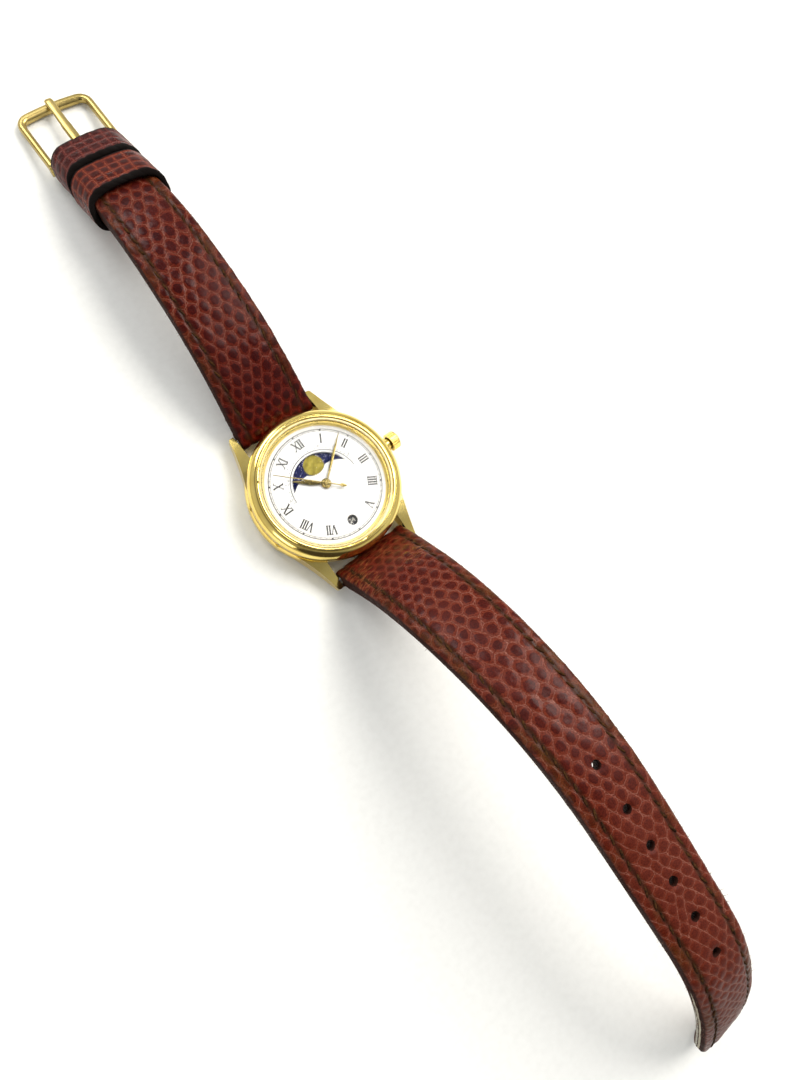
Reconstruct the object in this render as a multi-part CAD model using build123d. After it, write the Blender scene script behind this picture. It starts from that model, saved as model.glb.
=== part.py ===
from build123d import *
import os
from math import asin, atan2, cos, degrees, hypot, radians, sin, sqrt, tan

# A wristwatch with moon phase, date, leather strap and pin buckle, lying on its back.
# Lengths are millimetres. The origin is the centre of the case back's flat face, +Z points
# out of the dial, +Y to 12 o'clock and +X to the crown. The strap arches up from the lugs
# on both sides and comes down to the table again.

# Fits
running_gap = 0.04
fit_gap = 0.02
cut_overrun = 2.0

# Case back, middle case and bezel
case_back_diameter = 22.0
case_back_thickness = 0.6
back_rim_height = 0.4
back_rim_width = 0.7
back_gasket_width = 0.33
back_gasket_height = 0.34
case_diameter = 25.0
case_bore_diameter = 20.6
case_shoulder_height = 2.75
case_neck_diameter = 22.4
case_neck_height = 1.55
bezel_diameter = 24.5
bezel_height = 2.85
bezel_foot_width = 0.85
bezel_side_share = 0.36
bezel_shoulder_share = 0.72
bezel_ring_diameter = 22.1
bezel_groove_width = 0.2
bezel_groove_depth = 0.16
bezel_opening_diameter = 21.0
rehaut_foot_diameter = 19.3
rehaut_head_diameter = 20.0
crystal_seat_drop = 0.5
crystal_thickness = 0.77
crystal_chamfer = 0.25
crystal_gasket_width = 0.25
crystal_gasket_height = 0.45

# Lugs and the spring bars between them
lug_gap = 14.0
lug_to_lug = 29.44
lug_tip_width = 0.95
lug_nose_shares = ((0.75, 0.05), (0.5, 0.0))
lug_tip_set_back_share = 0.33
lug_hollow_share = 0.5
lug_bulge_share = 0.2
lug_shoulder_share = 3.0
lug_tip_top = 2.35
lug_tip_bottom = 1.1
lug_root_y = 3.5
lug_root_radius = 12.4
between_lugs_diameter = 23.4
bar_y = 13.45
bar_z = 2.0
bar_tube_radius = 0.65
bar_tube_bore_radius = 0.49
bar_end_gap = 0.25
pin_body_radius = 0.46
pin_tip_radius = 0.36
pin_hole_radius = 0.38
pin_tip_reach = 0.75
pin_body_length = 2.2

# Crown, stem and keyless work
crown_diameter = 3.04
crown_width = 1.5
crown_standout = 0.9
crown_height = 3.0
crown_cup_radius = 1.08
crown_cup_depth = 0.9
crown_flutes = 24
crown_flute_radius = 0.11
crown_dome = 0.25
crown_tube_outer_radius = 0.8
crown_tube_bore_radius = 0.4
crown_tube_standout = 0.75
crown_gasket_width = 0.2
stem_radius = 0.35
stem_inner_x = 3.6
stem_pilot_radius = 0.2
stem_pilot_length = 0.4
stem_square = 0.46
stem_square_length = 2.1
stem_groove_width = 0.5
stem_groove_radius = 0.2
stem_channel_radius = 0.4
sliding_pinion_radius = 0.6
sliding_pinion_width = 0.6
sliding_pinion_x = 5.15
sliding_pinion_teeth = 12
lever_pivot_x = 6.9
lever_pivot_y = 2.0
lever_width = 0.7
lever_pin_radius = 0.16

# Movement: plates, holder and dial
holder_diameter = 20.4
plate_diameter = 18.0
plate_thickness = 1.05
holder_height = 3.5
dial_side_height = 0.95
dial_diameter = 19.9
dial_thickness = 0.4
dial_foot_radius = 0.2
dial_foot_circle_radius = 8.65
dial_foot_angles = (35.0, 215.0)
bridge_thickness = 0.5
bridge_margin = 0.6
bridge_screw_head_radius = 0.45
bridge_screw_head_height = 0.3
bridge_screw_radius = 0.2
bridge_screw_slot = 0.12
pillar_radius = 0.3
pillar_places = ((3.3, 0.4), (-2.6, -1.95), (-0.6, 6.35))

# Wheels. The going train lies under the main plate, the motion work and calendar above it.
train_levels = 4
train_level_step = 0.2
train_wheel_thickness = 0.14
train_clearance = 0.09
calendar_level_step = 0.17
calendar_wheel_thickness = 0.1
addendum_share = 0.8
dedendum_share = 1.0
tip_half_share = 0.11
root_half_share = 0.3
arbor_radius = 0.1
pivot_hole_radius = 0.13
train_module = 0.09
centre_module = 0.085
motion_module = 0.08
rotor_pinion_teeth = 6
fifth_wheel_teeth = 36
fifth_pinion_teeth = 8
fourth_wheel_teeth = 40
fourth_pinion_teeth = 8
third_wheel_teeth = 60
third_pinion_teeth = 8
centre_wheel_teeth = 64
cannon_pinion_teeth = 10
minute_wheel_teeth = 30
minute_pinion_teeth = 8
hour_wheel_teeth = 32
date_wheel_teeth = 64
moon_teeth = 59
date_teeth = 31
third_direction = 100.0
fifth_direction = -60.0
rotor_direction = -60.0
minute_direction = 150.0
date_wheel_direction = -100.0
cannon_bore_radius = 0.14
cannon_radius = 0.3
hour_tube_bore_radius = 0.35
hour_tube_radius = 0.55
post_radius = 0.2
date_finger_reach = 2.15
moon_finger_reach = 1.25
finger_width = 0.3

# Motor and electronics
rotor_magnet_radius = 0.6
stator_hole_radius = 0.78
stator_thickness = 0.4
stator_width = 2.0
stator_left_x = -2.5
stator_right_x = 5.0
stator_leg_width = 1.0
coil_y = -6.2
coil_core_width = 0.9
coil_core_thickness = 0.3
coil_winding_width = 1.6
coil_winding_height = 1.1
coil_winding_length = 4.6
battery_diameter = 5.8
battery_thickness = 1.65
battery_edge_gap = 0.3
battery_y = -1.0
battery_rim = 0.3
battery_lift = 0.2
battery_side_gap = 0.1
clip_thickness = 0.12
clip_width = 1.4
board_thickness = 0.15
board_gap = 0.04
quartz_diameter = 1.2
quartz_length = 4.0
quartz_x = 4.3
quartz_y = 4.0
chip_size = 1.6
chip_thickness = 0.5
chip_x = 6.3
chip_y = 2.9

# Dial, discs and hands
moon_disc_diameter = 11.5
disc_thickness = 0.14
disc_gap = 0.11
date_ring_outer_diameter = 16.4
date_ring_inner_diameter = 12.6
date_tooth_depth = 0.15
date_ring_seat_diameter = 15.3
keeper_lip = 0.25
aperture_outer_radius = 5.3
aperture_tip_x = 5.05
aperture_tip_y = 1.37
aperture_hump_x = 3.45
aperture_hump_y = 2.42
aperture_notch_x = 1.75
aperture_notch_y = 2.68
aperture_bottom_y = 1.98
date_window_radius = 0.85
date_window_y = -7.06
hand_gap = 0.17
hour_hand_thickness = 0.12
minute_hand_thickness = 0.1
second_hand_thickness = 0.07
hour_hand_length = 5.35
hour_hand_width = 0.62
minute_hand_length = 8.8
minute_hand_width = 0.56
second_hand_length = 8.44
second_hand_tail = 3.15
second_hand_width = 0.14
second_tail_radius = 0.42
hour_hub_radius = 0.9
minute_hub_radius = 0.75
second_hub_radius = 0.4
minute_hand_angle = 49.6
hour_hand_angle = -53.5
second_hand_angle = -47.8

# Strap: two halves of leather, each a padded core between an upper and a lining
strap_width = 13.45
strap_sleeve_radius = 1.45
strap_sleeve_bore_radius = 0.7
strap_start_half_thickness = 1.38
lining_thickness = 0.5
core_width_share = 0.74
crown_shares = ((-1.0, 0.0), (-0.72, 0.62), (-0.38, 0.92), (0.0, 1.0), (0.38, 0.92), (0.72, 0.62), (1.0, 0.0))
flat_start_share = 0.1
flat_end_share = 0.15
thin_start_length = 9.6
tail_length = 111.0
tail_end_width = 9.2
tail_tip_length = 9.8
tail_tip_shares = (0.0, 0.35, 0.6, 0.8, 0.93, 1.0)
tail_tip_round_share = 0.98
tail_slopes = (58.4, 48.0, 35.7, 25.0, 16.2, 6.7, -2.8, -4.6, -5.8, -33.0, -46.5, -50.6, -74.3)
tail_headings = (1.2, 1.0, -2.9, -3.0, 1.6)
tail_edge_half = 1.0
tail_end_half = 0.85
tail_crown = 0.75
tail_holes = 6
tail_first_hole = 48.2
tail_second_hole = 54.9
tail_hole_pitch = 5.6
tail_hole_radius = 0.65
buckle_half_length = 56.1
buckle_end_width = 10.3
buckle_half_slopes = (34.0, 29.0, 18.5, 6.0, 0.5, -8.0, -22.0, -26.5, -18.0)
buckle_half_headings = (1.2, 1.9, 1.5)
buckle_edge_half = 1.1
buckle_crown = 0.5
tail_stations = 22
buckle_half_stations = 16
core_start = 3.2
core_end_gap = 6.0
core_end_share = 0.15
buckle_thinning_length = 18.0

# Buckle, its bar and the two loops
buckle_bar_height = 2.4
buckle_outer_width = 13.2
buckle_reach = 11.35
buckle_arm_width = 1.2
buckle_front_width = 1.5
buckle_thickness = 1.3
buckle_corner_radius = 2.3
round_corner_share = 0.29
buckle_inner_corner_radius = 0.77
buckle_bow = 0.45
buckle_eye_radius = 0.75
buckle_sleeve_radius = 1.2
buckle_sleeve_bore_radius = 0.56
buckle_tube_radius = 0.52
buckle_tube_bore_radius = 0.39
buckle_pin_body_radius = 0.36
buckle_pin_tip_radius = 0.3
buckle_pin_hole_radius = 0.32
tongue_width = 1.65
tongue_slot_gap = 0.3
tongue_slot_reach = 2.0
tongue_thickness = 0.75
tongue_tip_drop = 0.35
tongue_eye_wall = 0.45
tongue_front_gap = 0.075
tongue_shares = ((0.55, 0.8, -0.25), (0.87, 1.0, 0.0))
tongue_tip_share = 0.85
loop_leather = 0.9
loop_side_gap = 0.55
loop_lean = 25.0
loop_room = 4.0
loop_outer_corner_radius = 2.3
loop_inner_corner_radius = 0.7
fixed_loop_length = 5.9
fixed_loop_front = 0.5
fixed_loop_gap = 0.15
free_loop_length = 6.6
free_loop_gap = 0.7
loop_spacing = 0.8
loop_place_share = 0.835
free_loop_travel = 2.5

# Heights and places worked out from the sizes above
crown_inner_x = case_diameter / 2 + crown_standout
battery_x = (battery_diameter - plate_diameter) / 2 + battery_edge_gap
case_bottom = case_back_thickness
shoulder_top = case_bottom + case_shoulder_height
neck_top = shoulder_top + case_neck_height
holder_bottom = case_back_thickness + back_rim_height + fit_gap
dial_bottom = holder_bottom + holder_height
dial_top = dial_bottom + dial_thickness
plate_top = dial_bottom - dial_side_height
plate_bottom = plate_top - plate_thickness
bridge_top = plate_bottom - 2 * train_clearance - train_wheel_thickness - (train_levels - 1) * train_level_step
bridge_bottom = bridge_top - bridge_thickness
disc_top = dial_bottom - disc_gap
disc_bottom = disc_top - disc_thickness
bezel_bottom = shoulder_top + fit_gap
bezel_top = bezel_bottom + bezel_height
crystal_seat = bezel_top - crystal_seat_drop
crystal_bottom = crystal_seat + fit_gap
hour_hand_bottom = dial_top + hand_gap
minute_hand_bottom = hour_hand_bottom + hour_hand_thickness + hand_gap / 2
second_hand_bottom = minute_hand_bottom + minute_hand_thickness + hand_gap / 2


def train_level(number):
    """The underside of a going-train wheel: level 1 is nearest the case back, the last nearest the plate."""
    return plate_bottom - train_clearance - train_wheel_thickness - (train_levels - number) * train_level_step


def calendar_level(number):
    """The underside of a motion-work wheel: level 1 lies on the plate, 3 under the discs."""
    return plate_top + fit_gap + (number - 1) * calendar_level_step


def save(name, shape):
    """Write one sub-part to its own STEP file."""
    export_step(shape, f"parts/{name}.step")


def rod(radius, bottom, top, place=(0, 0)):
    """An upright cylinder between two heights."""
    lying = Align.CENTER, Align.CENTER, Align.MIN
    return Pos(place[0], place[1], bottom) * Cylinder(radius, top - bottom, align=lying)


def ring(outer, inner, bottom, top, place=(0, 0)):
    """An upright tube between two heights."""
    return rod(outer, bottom, top, place) - rod(inner, bottom - cut_overrun, top + cut_overrun, place)


def block(low, high):
    """A box between two corners."""
    size = [b - a for a, b in zip(low, high)]
    middle = [(a + b) / 2 for a, b in zip(low, high)]
    return Pos(*middle) * Box(*size)


def along_x(shape, x, y, z):
    """Lay a shape that was built along +Z down along +X, its foot at the point."""
    return Pos(x, y, z) * Rot(0, 90, 0) * shape


def polar(radius, degree, centre=(0, 0)):
    """A point at an angle counted anticlockwise from +X."""
    return centre[0] + radius * cos(radians(degree)), centre[1] + radius * sin(radians(degree))


def turned(points):
    """Turn a closed outline of (radius, height) points about the Z axis."""
    return revolve(Plane.XZ * make_face(Polyline(*points, close=True)), Axis.Z)


def gear(teeth, module, bottom, thickness, place=(0, 0), phase=0.0):
    """A flat spur gear whose first tooth points at the phase angle, in degrees."""
    tip = module * (teeth / 2 + addendum_share)
    root = module * (teeth / 2 - dedendum_share)
    outline = []
    for tooth in range(teeth):
        for radius, share in ((root, -root_half_share), (tip, -tip_half_share),
                              (tip, tip_half_share), (root, root_half_share)):
            outline.append(polar(radius, phase + (tooth + share) * 360 / teeth))
    return Pos(place[0], place[1], bottom) * extrude(make_face(Polyline(*outline, close=True)), thickness)


def meshed(direction, teeth, driven_teeth, phase=0.0):
    """The phase of a driven gear that lies in a direction from its driver, so the teeth interlock."""
    return direction + 180 - (phase - direction) * teeth / driven_teeth - 180 / driven_teeth


def centre_distance(module, teeth_a, teeth_b):
    """How far apart two meshed gears stand."""
    return module * (teeth_a + teeth_b) / 2


fourth_place = (0, 0)
third_place = polar(centre_distance(train_module, fourth_pinion_teeth, third_wheel_teeth), third_direction)
fifth_place = polar(centre_distance(train_module, fourth_wheel_teeth, fifth_pinion_teeth), fifth_direction)
rotor_distance = centre_distance(train_module, fifth_wheel_teeth, rotor_pinion_teeth)
rotor_place = polar(rotor_distance, rotor_direction, fifth_place)
minute_place = polar(centre_distance(motion_module, cannon_pinion_teeth, minute_wheel_teeth), minute_direction)
date_place = polar(centre_distance(motion_module, hour_wheel_teeth, date_wheel_teeth), date_wheel_direction)


# Case back with its snap-in rim, and the gasket round the rim
def case_back():
    rim_outer = case_bore_diameter / 2 - running_gap
    flange = rod(case_back_diameter / 2, 0, case_back_thickness)
    rim_top = case_back_thickness + back_rim_height
    return flange + ring(rim_outer, rim_outer - back_rim_width, case_back_thickness, rim_top)


def case_back_gasket():
    inner = case_bore_diameter / 2
    return ring(inner + back_gasket_width, inner, case_bottom, case_bottom + back_gasket_height)


# Middle case: a convex band with four lugs, a neck for the bezel and a hole for the crown tube
def lug(side_x, side_y):
    inner = lug_gap / 2
    tip_y = lug_to_lug / 2
    root = sqrt(lug_root_radius ** 2 - lug_root_y ** 2), lug_root_y
    tip = inner + lug_tip_width, tip_y - lug_tip_width * lug_tip_set_back_share
    nose_side, nose_end = [(inner + lug_tip_width * across, tip_y - lug_tip_width * back)
                           for across, back in lug_nose_shares]
    middle = (tip[0] + root[0]) / 2 - lug_tip_width * lug_hollow_share, (tip[1] + root[1]) / 2
    flank = ThreePointArc(root, middle, tip)
    nose = ThreePointArc(tip, nose_side, nose_end)
    rest = Polyline(nose_end, (inner, tip_y), (inner, 0), (root[0], 0), root)
    plan = extrude(make_face([flank, nose, rest]), shoulder_top)
    shoulder_y = between_lugs_diameter / 2 - lug_tip_width * lug_shoulder_share
    sole_y = case_back_diameter / 2
    crest_middle = (shoulder_y + tip_y) / 2, (shoulder_top * 2 + lug_tip_top) / 3
    sole_middle = (sole_y + tip_y) / 2, case_bottom + lug_tip_width * lug_bulge_share
    crest = ThreePointArc((shoulder_y, shoulder_top), crest_middle, (tip_y, lug_tip_top))
    sole = ThreePointArc((tip_y, lug_tip_bottom), sole_middle, (sole_y, case_bottom))
    tip_face = Line((tip_y, lug_tip_top), (tip_y, lug_tip_bottom))
    inside = Polyline((sole_y, case_bottom), (0, case_bottom), (0, shoulder_top), (shoulder_y, shoulder_top))
    side = extrude(Plane.YZ * make_face([crest, tip_face, sole, inside]), case_diameter)
    piece = plan & side
    if side_y < 0:
        piece = mirror(piece, Plane.XZ)
    if side_x < 0:
        piece = mirror(piece, Plane.YZ)
    return piece


def middle_case():
    outer = case_diameter / 2
    shoulder = bezel_diameter / 2 - fit_gap
    foot = case_back_diameter / 2 + back_gasket_width
    neck_radius = case_neck_diameter / 2
    belly = outer, case_bottom + case_shoulder_height / 2
    band = ThreePointArc((foot, case_bottom), belly, (shoulder, shoulder_top))
    neck = Polyline((shoulder, shoulder_top), (neck_radius, shoulder_top), (neck_radius, neck_top),
                    (0, neck_top), (0, case_bottom), (foot, case_bottom))
    body = revolve(Plane.XZ * make_face([band, neck]), Axis.Z)
    for side_x in (-1, 1):
        for side_y in (-1, 1):
            body += lug(side_x, side_y)
    keep = rod(between_lugs_diameter / 2, case_bottom - cut_overrun, neck_top + cut_overrun)
    half = lug_gap / 2
    body -= block((-half, -lug_to_lug, case_bottom - cut_overrun), (half, lug_to_lug, shoulder_top)) - keep
    body -= rod(case_bore_diameter / 2, 0, neck_top + cut_overrun)
    gasket_seat = case_bore_diameter / 2 + back_gasket_width + fit_gap
    body -= rod(gasket_seat, 0, case_bottom + back_gasket_height + fit_gap)
    body -= along_x(rod(crown_tube_outer_radius, 0, case_diameter), 0, 0, crown_height)
    hole_reach = half + pin_tip_reach + running_gap
    for side_y in (-1, 1):
        body -= along_x(rod(pin_hole_radius, -hole_reach, hole_reach), 0, side_y * bar_y, bar_z)
    return body


# Bezel: a wide convex band, a thin groove, a narrow ring, and the sloping flange over the dial
def bezel():
    outer = bezel_diameter / 2
    bore = case_neck_diameter / 2 + fit_gap
    ring_outer = bezel_ring_diameter / 2
    groove_floor = bezel_top - bezel_groove_depth - bezel_groove_width
    groove_outer = ring_outer + bezel_groove_width
    opening = bezel_opening_diameter / 2
    side_top = bezel_bottom + bezel_height * bezel_side_share
    shoulder = outer - bezel_groove_width, bezel_bottom + bezel_height * bezel_shoulder_share
    band_top = bezel_top - bezel_groove_width
    crest_side = bezel_top - bezel_groove_width / 2
    flank = ThreePointArc((outer, side_top), shoulder, (groove_outer, band_top))
    upper = Polyline((groove_outer, band_top), (groove_outer, groove_floor), (ring_outer, groove_floor),
                     (ring_outer, crest_side))
    crest_middle = (ring_outer + opening) / 2, bezel_top
    crest = ThreePointArc((ring_outer, crest_side), crest_middle, (opening, crest_side))
    inside = Polyline((opening, crest_side), (opening, crystal_seat),
                      (rehaut_head_diameter / 2, crystal_seat), (rehaut_foot_diameter / 2, dial_top + fit_gap),
                      (bore, dial_top + fit_gap), (bore, bezel_bottom), (bore + bezel_foot_width, bezel_bottom),
                      (outer, bezel_bottom + bezel_groove_width), (outer, side_top))
    body = revolve(Plane.XZ * make_face([flank, upper, crest, inside]), Axis.Z)
    return body - along_x(rod(crown_tube_outer_radius + fit_gap, 0, case_diameter), 0, 0, crown_height)


def crystal():
    radius = bezel_opening_diameter / 2 - crystal_gasket_width - 2 * fit_gap
    top = crystal_bottom + crystal_thickness
    return turned([(0, crystal_bottom), (radius, crystal_bottom), (radius, top - crystal_chamfer),
                   (radius - crystal_chamfer, top), (0, top)])


def crystal_gasket():
    outer = bezel_opening_diameter / 2 - fit_gap
    return ring(outer, outer - crystal_gasket_width, crystal_bottom, crystal_bottom + crystal_gasket_height)


# Crown with its cup over the crown tube, the tube, its gasket, and the stem
def crown():
    radius = crown_diameter / 2
    edge = crown_width - crown_dome
    body = turned([(0, 0), (radius, 0), (radius, edge), (radius - crown_dome, crown_width), (0, crown_width)])
    for flute in range(crown_flutes):
        place = polar(radius, flute * 360 / crown_flutes)
        body -= rod(crown_flute_radius, -cut_overrun, edge, place)
    body -= rod(crown_cup_radius, -cut_overrun, crown_cup_depth)
    body -= rod(stem_radius, 0, edge - crown_dome)
    return along_x(body, crown_inner_x, 0, crown_height)


def crown_tube():
    start = case_bore_diameter / 2
    length = crown_inner_x + crown_tube_standout - start
    outer = crown_tube_outer_radius
    wall = ring(outer, crown_tube_bore_radius, 0, length)
    seat_bottom = length - crown_gasket_width * 2
    seat_top = seat_bottom + crown_gasket_width + fit_gap
    seat = ring(outer + cut_overrun, outer - crown_gasket_width, seat_bottom, seat_top)
    return along_x(wall - seat, start, 0, crown_height)


def crown_gasket():
    start = crown_inner_x + crown_tube_standout - crown_gasket_width * 2
    inner = crown_tube_outer_radius - crown_gasket_width + fit_gap
    return along_x(ring(crown_cup_radius - fit_gap, inner, fit_gap, crown_gasket_width), start, 0, crown_height)


def winding_stem():
    length = crown_inner_x + crown_width - 2 * crown_dome - stem_inner_x
    square_start = stem_pilot_length
    groove_start = square_start + stem_square_length
    shaft_start = groove_start + stem_groove_width
    flat = stem_square / 2
    body = rod(stem_pilot_radius, 0, square_start)
    body += block((-flat, -flat, square_start), (flat, flat, groove_start))
    body += rod(stem_groove_radius, groove_start, shaft_start)
    body += rod(stem_radius, shaft_start, length)
    return along_x(body, stem_inner_x, 0, crown_height)


def sliding_pinion():
    body = rod(sliding_pinion_radius, 0, sliding_pinion_width)
    cut_top = sliding_pinion_width + cut_overrun
    for tooth in range(sliding_pinion_teeth):
        place = polar(sliding_pinion_radius, tooth * 360 / sliding_pinion_teeth)
        body -= rod(sliding_pinion_radius / 8, sliding_pinion_width / 2, cut_top, place)
    hole = stem_square / 2 + fit_gap
    body -= block((-hole, -hole, -cut_overrun), (hole, hole, cut_top))
    return along_x(body, sliding_pinion_x, 0, crown_height)


def lever_pin_place():
    return stem_inner_x + stem_pilot_length + stem_square_length + stem_groove_width / 2, 0


def setting_lever():
    bottom = calendar_level(1)
    top = bottom + calendar_wheel_thickness
    pivot = lever_pivot_x, lever_pivot_y
    pin = lever_pin_place()
    angle = degrees(atan2(pin[1] - pivot[1], pin[0] - pivot[0]))
    length = hypot(pin[0] - pivot[0], pin[1] - pivot[1])
    arm = block((0, -lever_width / 2, bottom), (length, lever_width / 2, top))
    body = Pos(pivot[0], pivot[1], 0) * Rot(0, 0, angle) * arm
    body += rod(lever_width / 2, bottom, top, pivot) + rod(lever_width / 2, bottom, top, pin)
    body -= rod(post_radius + running_gap, 0, dial_bottom, pivot)
    return body + rod(lever_pin_radius, crown_height + stem_groove_radius + running_gap, top, pin)


# Movement holder, main plate, bridge and screws
def movement_holder():
    body = ring(holder_diameter / 2, plate_diameter / 2 + running_gap, holder_bottom, dial_bottom)
    return body - along_x(rod(stem_channel_radius + running_gap, 0, case_diameter), 0, 0, crown_height)


def main_plate():
    body = rod(plate_diameter / 2, plate_bottom, plate_top)
    seat_outer = date_ring_outer_diameter / 2
    body += ring(seat_outer, date_ring_seat_diameter / 2, plate_top, disc_bottom - fit_gap)
    for place in (minute_place, date_place):
        body += rod(post_radius, plate_top, calendar_level(3), place)
    body += rod(post_radius, plate_top, calendar_level(2), (lever_pivot_x, lever_pivot_y))
    for place in pillar_places:
        body += rod(pillar_radius, bridge_top, plate_bottom, place)
        body -= rod(bridge_screw_radius, 0, plate_bottom + plate_thickness / 2, place)
    body -= rod(cannon_radius + running_gap, 0, dial_bottom)
    for place in (third_place, fifth_place, rotor_place):
        body -= rod(pivot_hole_radius, 0, plate_bottom + plate_thickness / 3, place)
    body -= along_x(rod(stem_channel_radius, 0, case_diameter), stem_inner_x - running_gap, 0, crown_height)
    window = sliding_pinion_radius + running_gap
    pinion_end = sliding_pinion_x + sliding_pinion_width + running_gap
    body -= block((sliding_pinion_x - running_gap, -window, 0), (pinion_end, window, dial_bottom))
    slot = lever_pin_radius + running_gap
    slot_start, slot_y = lever_pin_place()
    slot_end = 2 * lever_pivot_x - slot_start + slot
    slot_corner = slot_start - slot, slot_y - 2 * slot, crown_height
    body -= block(slot_corner, (slot_end, slot_y + slot, dial_bottom))
    for angle in dial_foot_angles:
        body -= rod(dial_foot_radius + fit_gap, 0, dial_bottom, polar(dial_foot_circle_radius, angle))
    return body


def train_bridge():
    corners = pillar_places + (rotor_place,)
    order = sorted(corners, key=lambda place: atan2(place[1], place[0]))
    body = extrude(make_face(Polyline(*order, close=True)), bridge_thickness)
    body = Pos(0, 0, bridge_bottom) * body
    for start, end in zip(order, order[1:] + order[:1]):
        length = hypot(end[0] - start[0], end[1] - start[1])
        angle = degrees(atan2(end[1] - start[1], end[0] - start[0]))
        edge = block((0, -bridge_margin, bridge_bottom), (length, bridge_margin, bridge_top))
        body += Pos(start[0], start[1], 0) * Rot(0, 0, angle) * edge
        body += rod(bridge_margin, bridge_bottom, bridge_top, start)
    body -= rod(battery_diameter / 2 + battery_side_gap, 0, dial_bottom, (battery_x, battery_y))
    for place in pillar_places:
        body -= rod(bridge_screw_radius, 0, dial_bottom, place)
    for place in (fourth_place, third_place, fifth_place, rotor_place):
        body -= rod(pivot_hole_radius, 0, dial_bottom, place)
    return body


def bridge_screws():
    screws = []
    for place in pillar_places:
        head_bottom = bridge_bottom - bridge_screw_head_height
        head = rod(bridge_screw_head_radius, head_bottom, bridge_bottom, place)
        slot_half = bridge_screw_slot / 2
        reach = bridge_screw_head_radius + fit_gap
        slot = block((-reach, -slot_half, 0), (reach, slot_half, head_bottom + bridge_screw_slot))
        head -= Pos(place[0], place[1], 0) * slot
        screws.append(head + rod(bridge_screw_radius, bridge_bottom, plate_bottom + plate_thickness / 3, place))
    return Compound(children=screws)


# Going train
def arbor(place):
    return rod(arbor_radius, bridge_bottom + train_clearance, plate_bottom + plate_thickness / 4, place)


def rotor():
    pinion = gear(rotor_pinion_teeth, train_module, train_level(1), train_wheel_thickness, rotor_place,
                  meshed(rotor_direction, fifth_wheel_teeth, rotor_pinion_teeth))
    magnet = rod(rotor_magnet_radius, train_level(2), train_level(2) + stator_thickness, rotor_place)
    neck = rod(arbor_radius * 2, train_level(1), train_level(2), rotor_place)
    return arbor(rotor_place) + pinion + magnet + neck


def fifth_wheel():
    wheel = gear(fifth_wheel_teeth, train_module, train_level(1), train_wheel_thickness, fifth_place)
    pinion = gear(fifth_pinion_teeth, train_module, train_level(2), train_wheel_thickness, fifth_place,
                  meshed(fifth_direction, fourth_wheel_teeth, fifth_pinion_teeth))
    neck = rod(arbor_radius * 2, train_level(1), train_level(2), fifth_place)
    return arbor(fifth_place) + wheel + pinion + neck


def fourth_wheel():
    wheel = gear(fourth_wheel_teeth, train_module, train_level(2), train_wheel_thickness)
    pinion = gear(fourth_pinion_teeth, train_module, train_level(3), train_wheel_thickness)
    neck = rod(arbor_radius * 2, train_level(2), train_level(3))
    staff = rod(arbor_radius, bridge_bottom + train_clearance, second_hand_bottom + second_hand_thickness)
    return staff + wheel + pinion + neck


def third_wheel():
    wheel = gear(third_wheel_teeth, train_module, train_level(3), train_wheel_thickness, third_place,
                 meshed(third_direction, fourth_pinion_teeth, third_wheel_teeth))
    pinion = gear(third_pinion_teeth, centre_module, train_level(4), train_wheel_thickness, third_place)
    neck = rod(arbor_radius * 2, train_level(3), train_level(4), third_place)
    return arbor(third_place) + wheel + pinion + neck


def centre_wheel():
    phase = meshed(third_direction + 180, third_pinion_teeth, centre_wheel_teeth)
    wheel = gear(centre_wheel_teeth, centre_module, train_level(4), train_wheel_thickness, phase=phase)
    return wheel - rod(cannon_radius, 0, dial_bottom)


# Motion work
def cannon_pinion():
    tube = ring(cannon_radius, cannon_bore_radius, train_level(4), minute_hand_bottom + minute_hand_thickness)
    pinion = gear(cannon_pinion_teeth, motion_module, calendar_level(1), calendar_wheel_thickness)
    return tube + (pinion - rod(cannon_radius, 0, dial_bottom))


def minute_wheel():
    wheel = gear(minute_wheel_teeth, motion_module, calendar_level(1), calendar_wheel_thickness, minute_place,
                 meshed(minute_direction, cannon_pinion_teeth, minute_wheel_teeth))
    pinion_thickness = calendar_level_step + calendar_wheel_thickness
    pinion = gear(minute_pinion_teeth, motion_module, calendar_level(1), pinion_thickness, minute_place)
    return wheel + pinion - rod(post_radius - fit_gap + running_gap, 0, dial_bottom, minute_place)


def hour_wheel():
    phase = meshed(minute_direction + 180, minute_pinion_teeth, hour_wheel_teeth)
    wheel = gear(hour_wheel_teeth, motion_module, calendar_level(2), calendar_wheel_thickness, phase=phase)
    tube = rod(hour_tube_radius, calendar_level(2), hour_hand_bottom + hour_hand_thickness)
    return wheel + tube - rod(hour_tube_bore_radius, 0, crystal_seat)


def date_driving_wheel():
    hour_phase = meshed(minute_direction + 180, minute_pinion_teeth, hour_wheel_teeth)
    phase = meshed(date_wheel_direction, hour_wheel_teeth, date_wheel_teeth, hour_phase)
    body = gear(date_wheel_teeth, motion_module, calendar_level(2), calendar_wheel_thickness, date_place, phase)
    finger_bottom = calendar_level(2) + calendar_wheel_thickness
    finger_top = calendar_level(3) + calendar_wheel_thickness
    body += rod(post_radius * 2, finger_bottom, finger_top, date_place)
    for reach, turn in ((date_finger_reach, 0), (moon_finger_reach, 180)):
        finger = block((0, -finger_width / 2, finger_bottom), (reach, finger_width / 2, finger_top))
        body += Pos(date_place[0], date_place[1], 0) * Rot(0, 0, turn) * finger
    return body - rod(post_radius + running_gap, 0, dial_bottom, date_place)


# Moon disc, date ring and its keeper
def moon_disc():
    under = gear(moon_teeth, motion_module, calendar_level(3), calendar_wheel_thickness)
    hub = rod(hour_tube_radius * 2, calendar_level(3), disc_bottom)
    disc = rod(moon_disc_diameter / 2, disc_bottom, disc_top)
    return under + hub + disc - rod(hour_tube_radius + running_gap, 0, dial_bottom)


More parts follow.
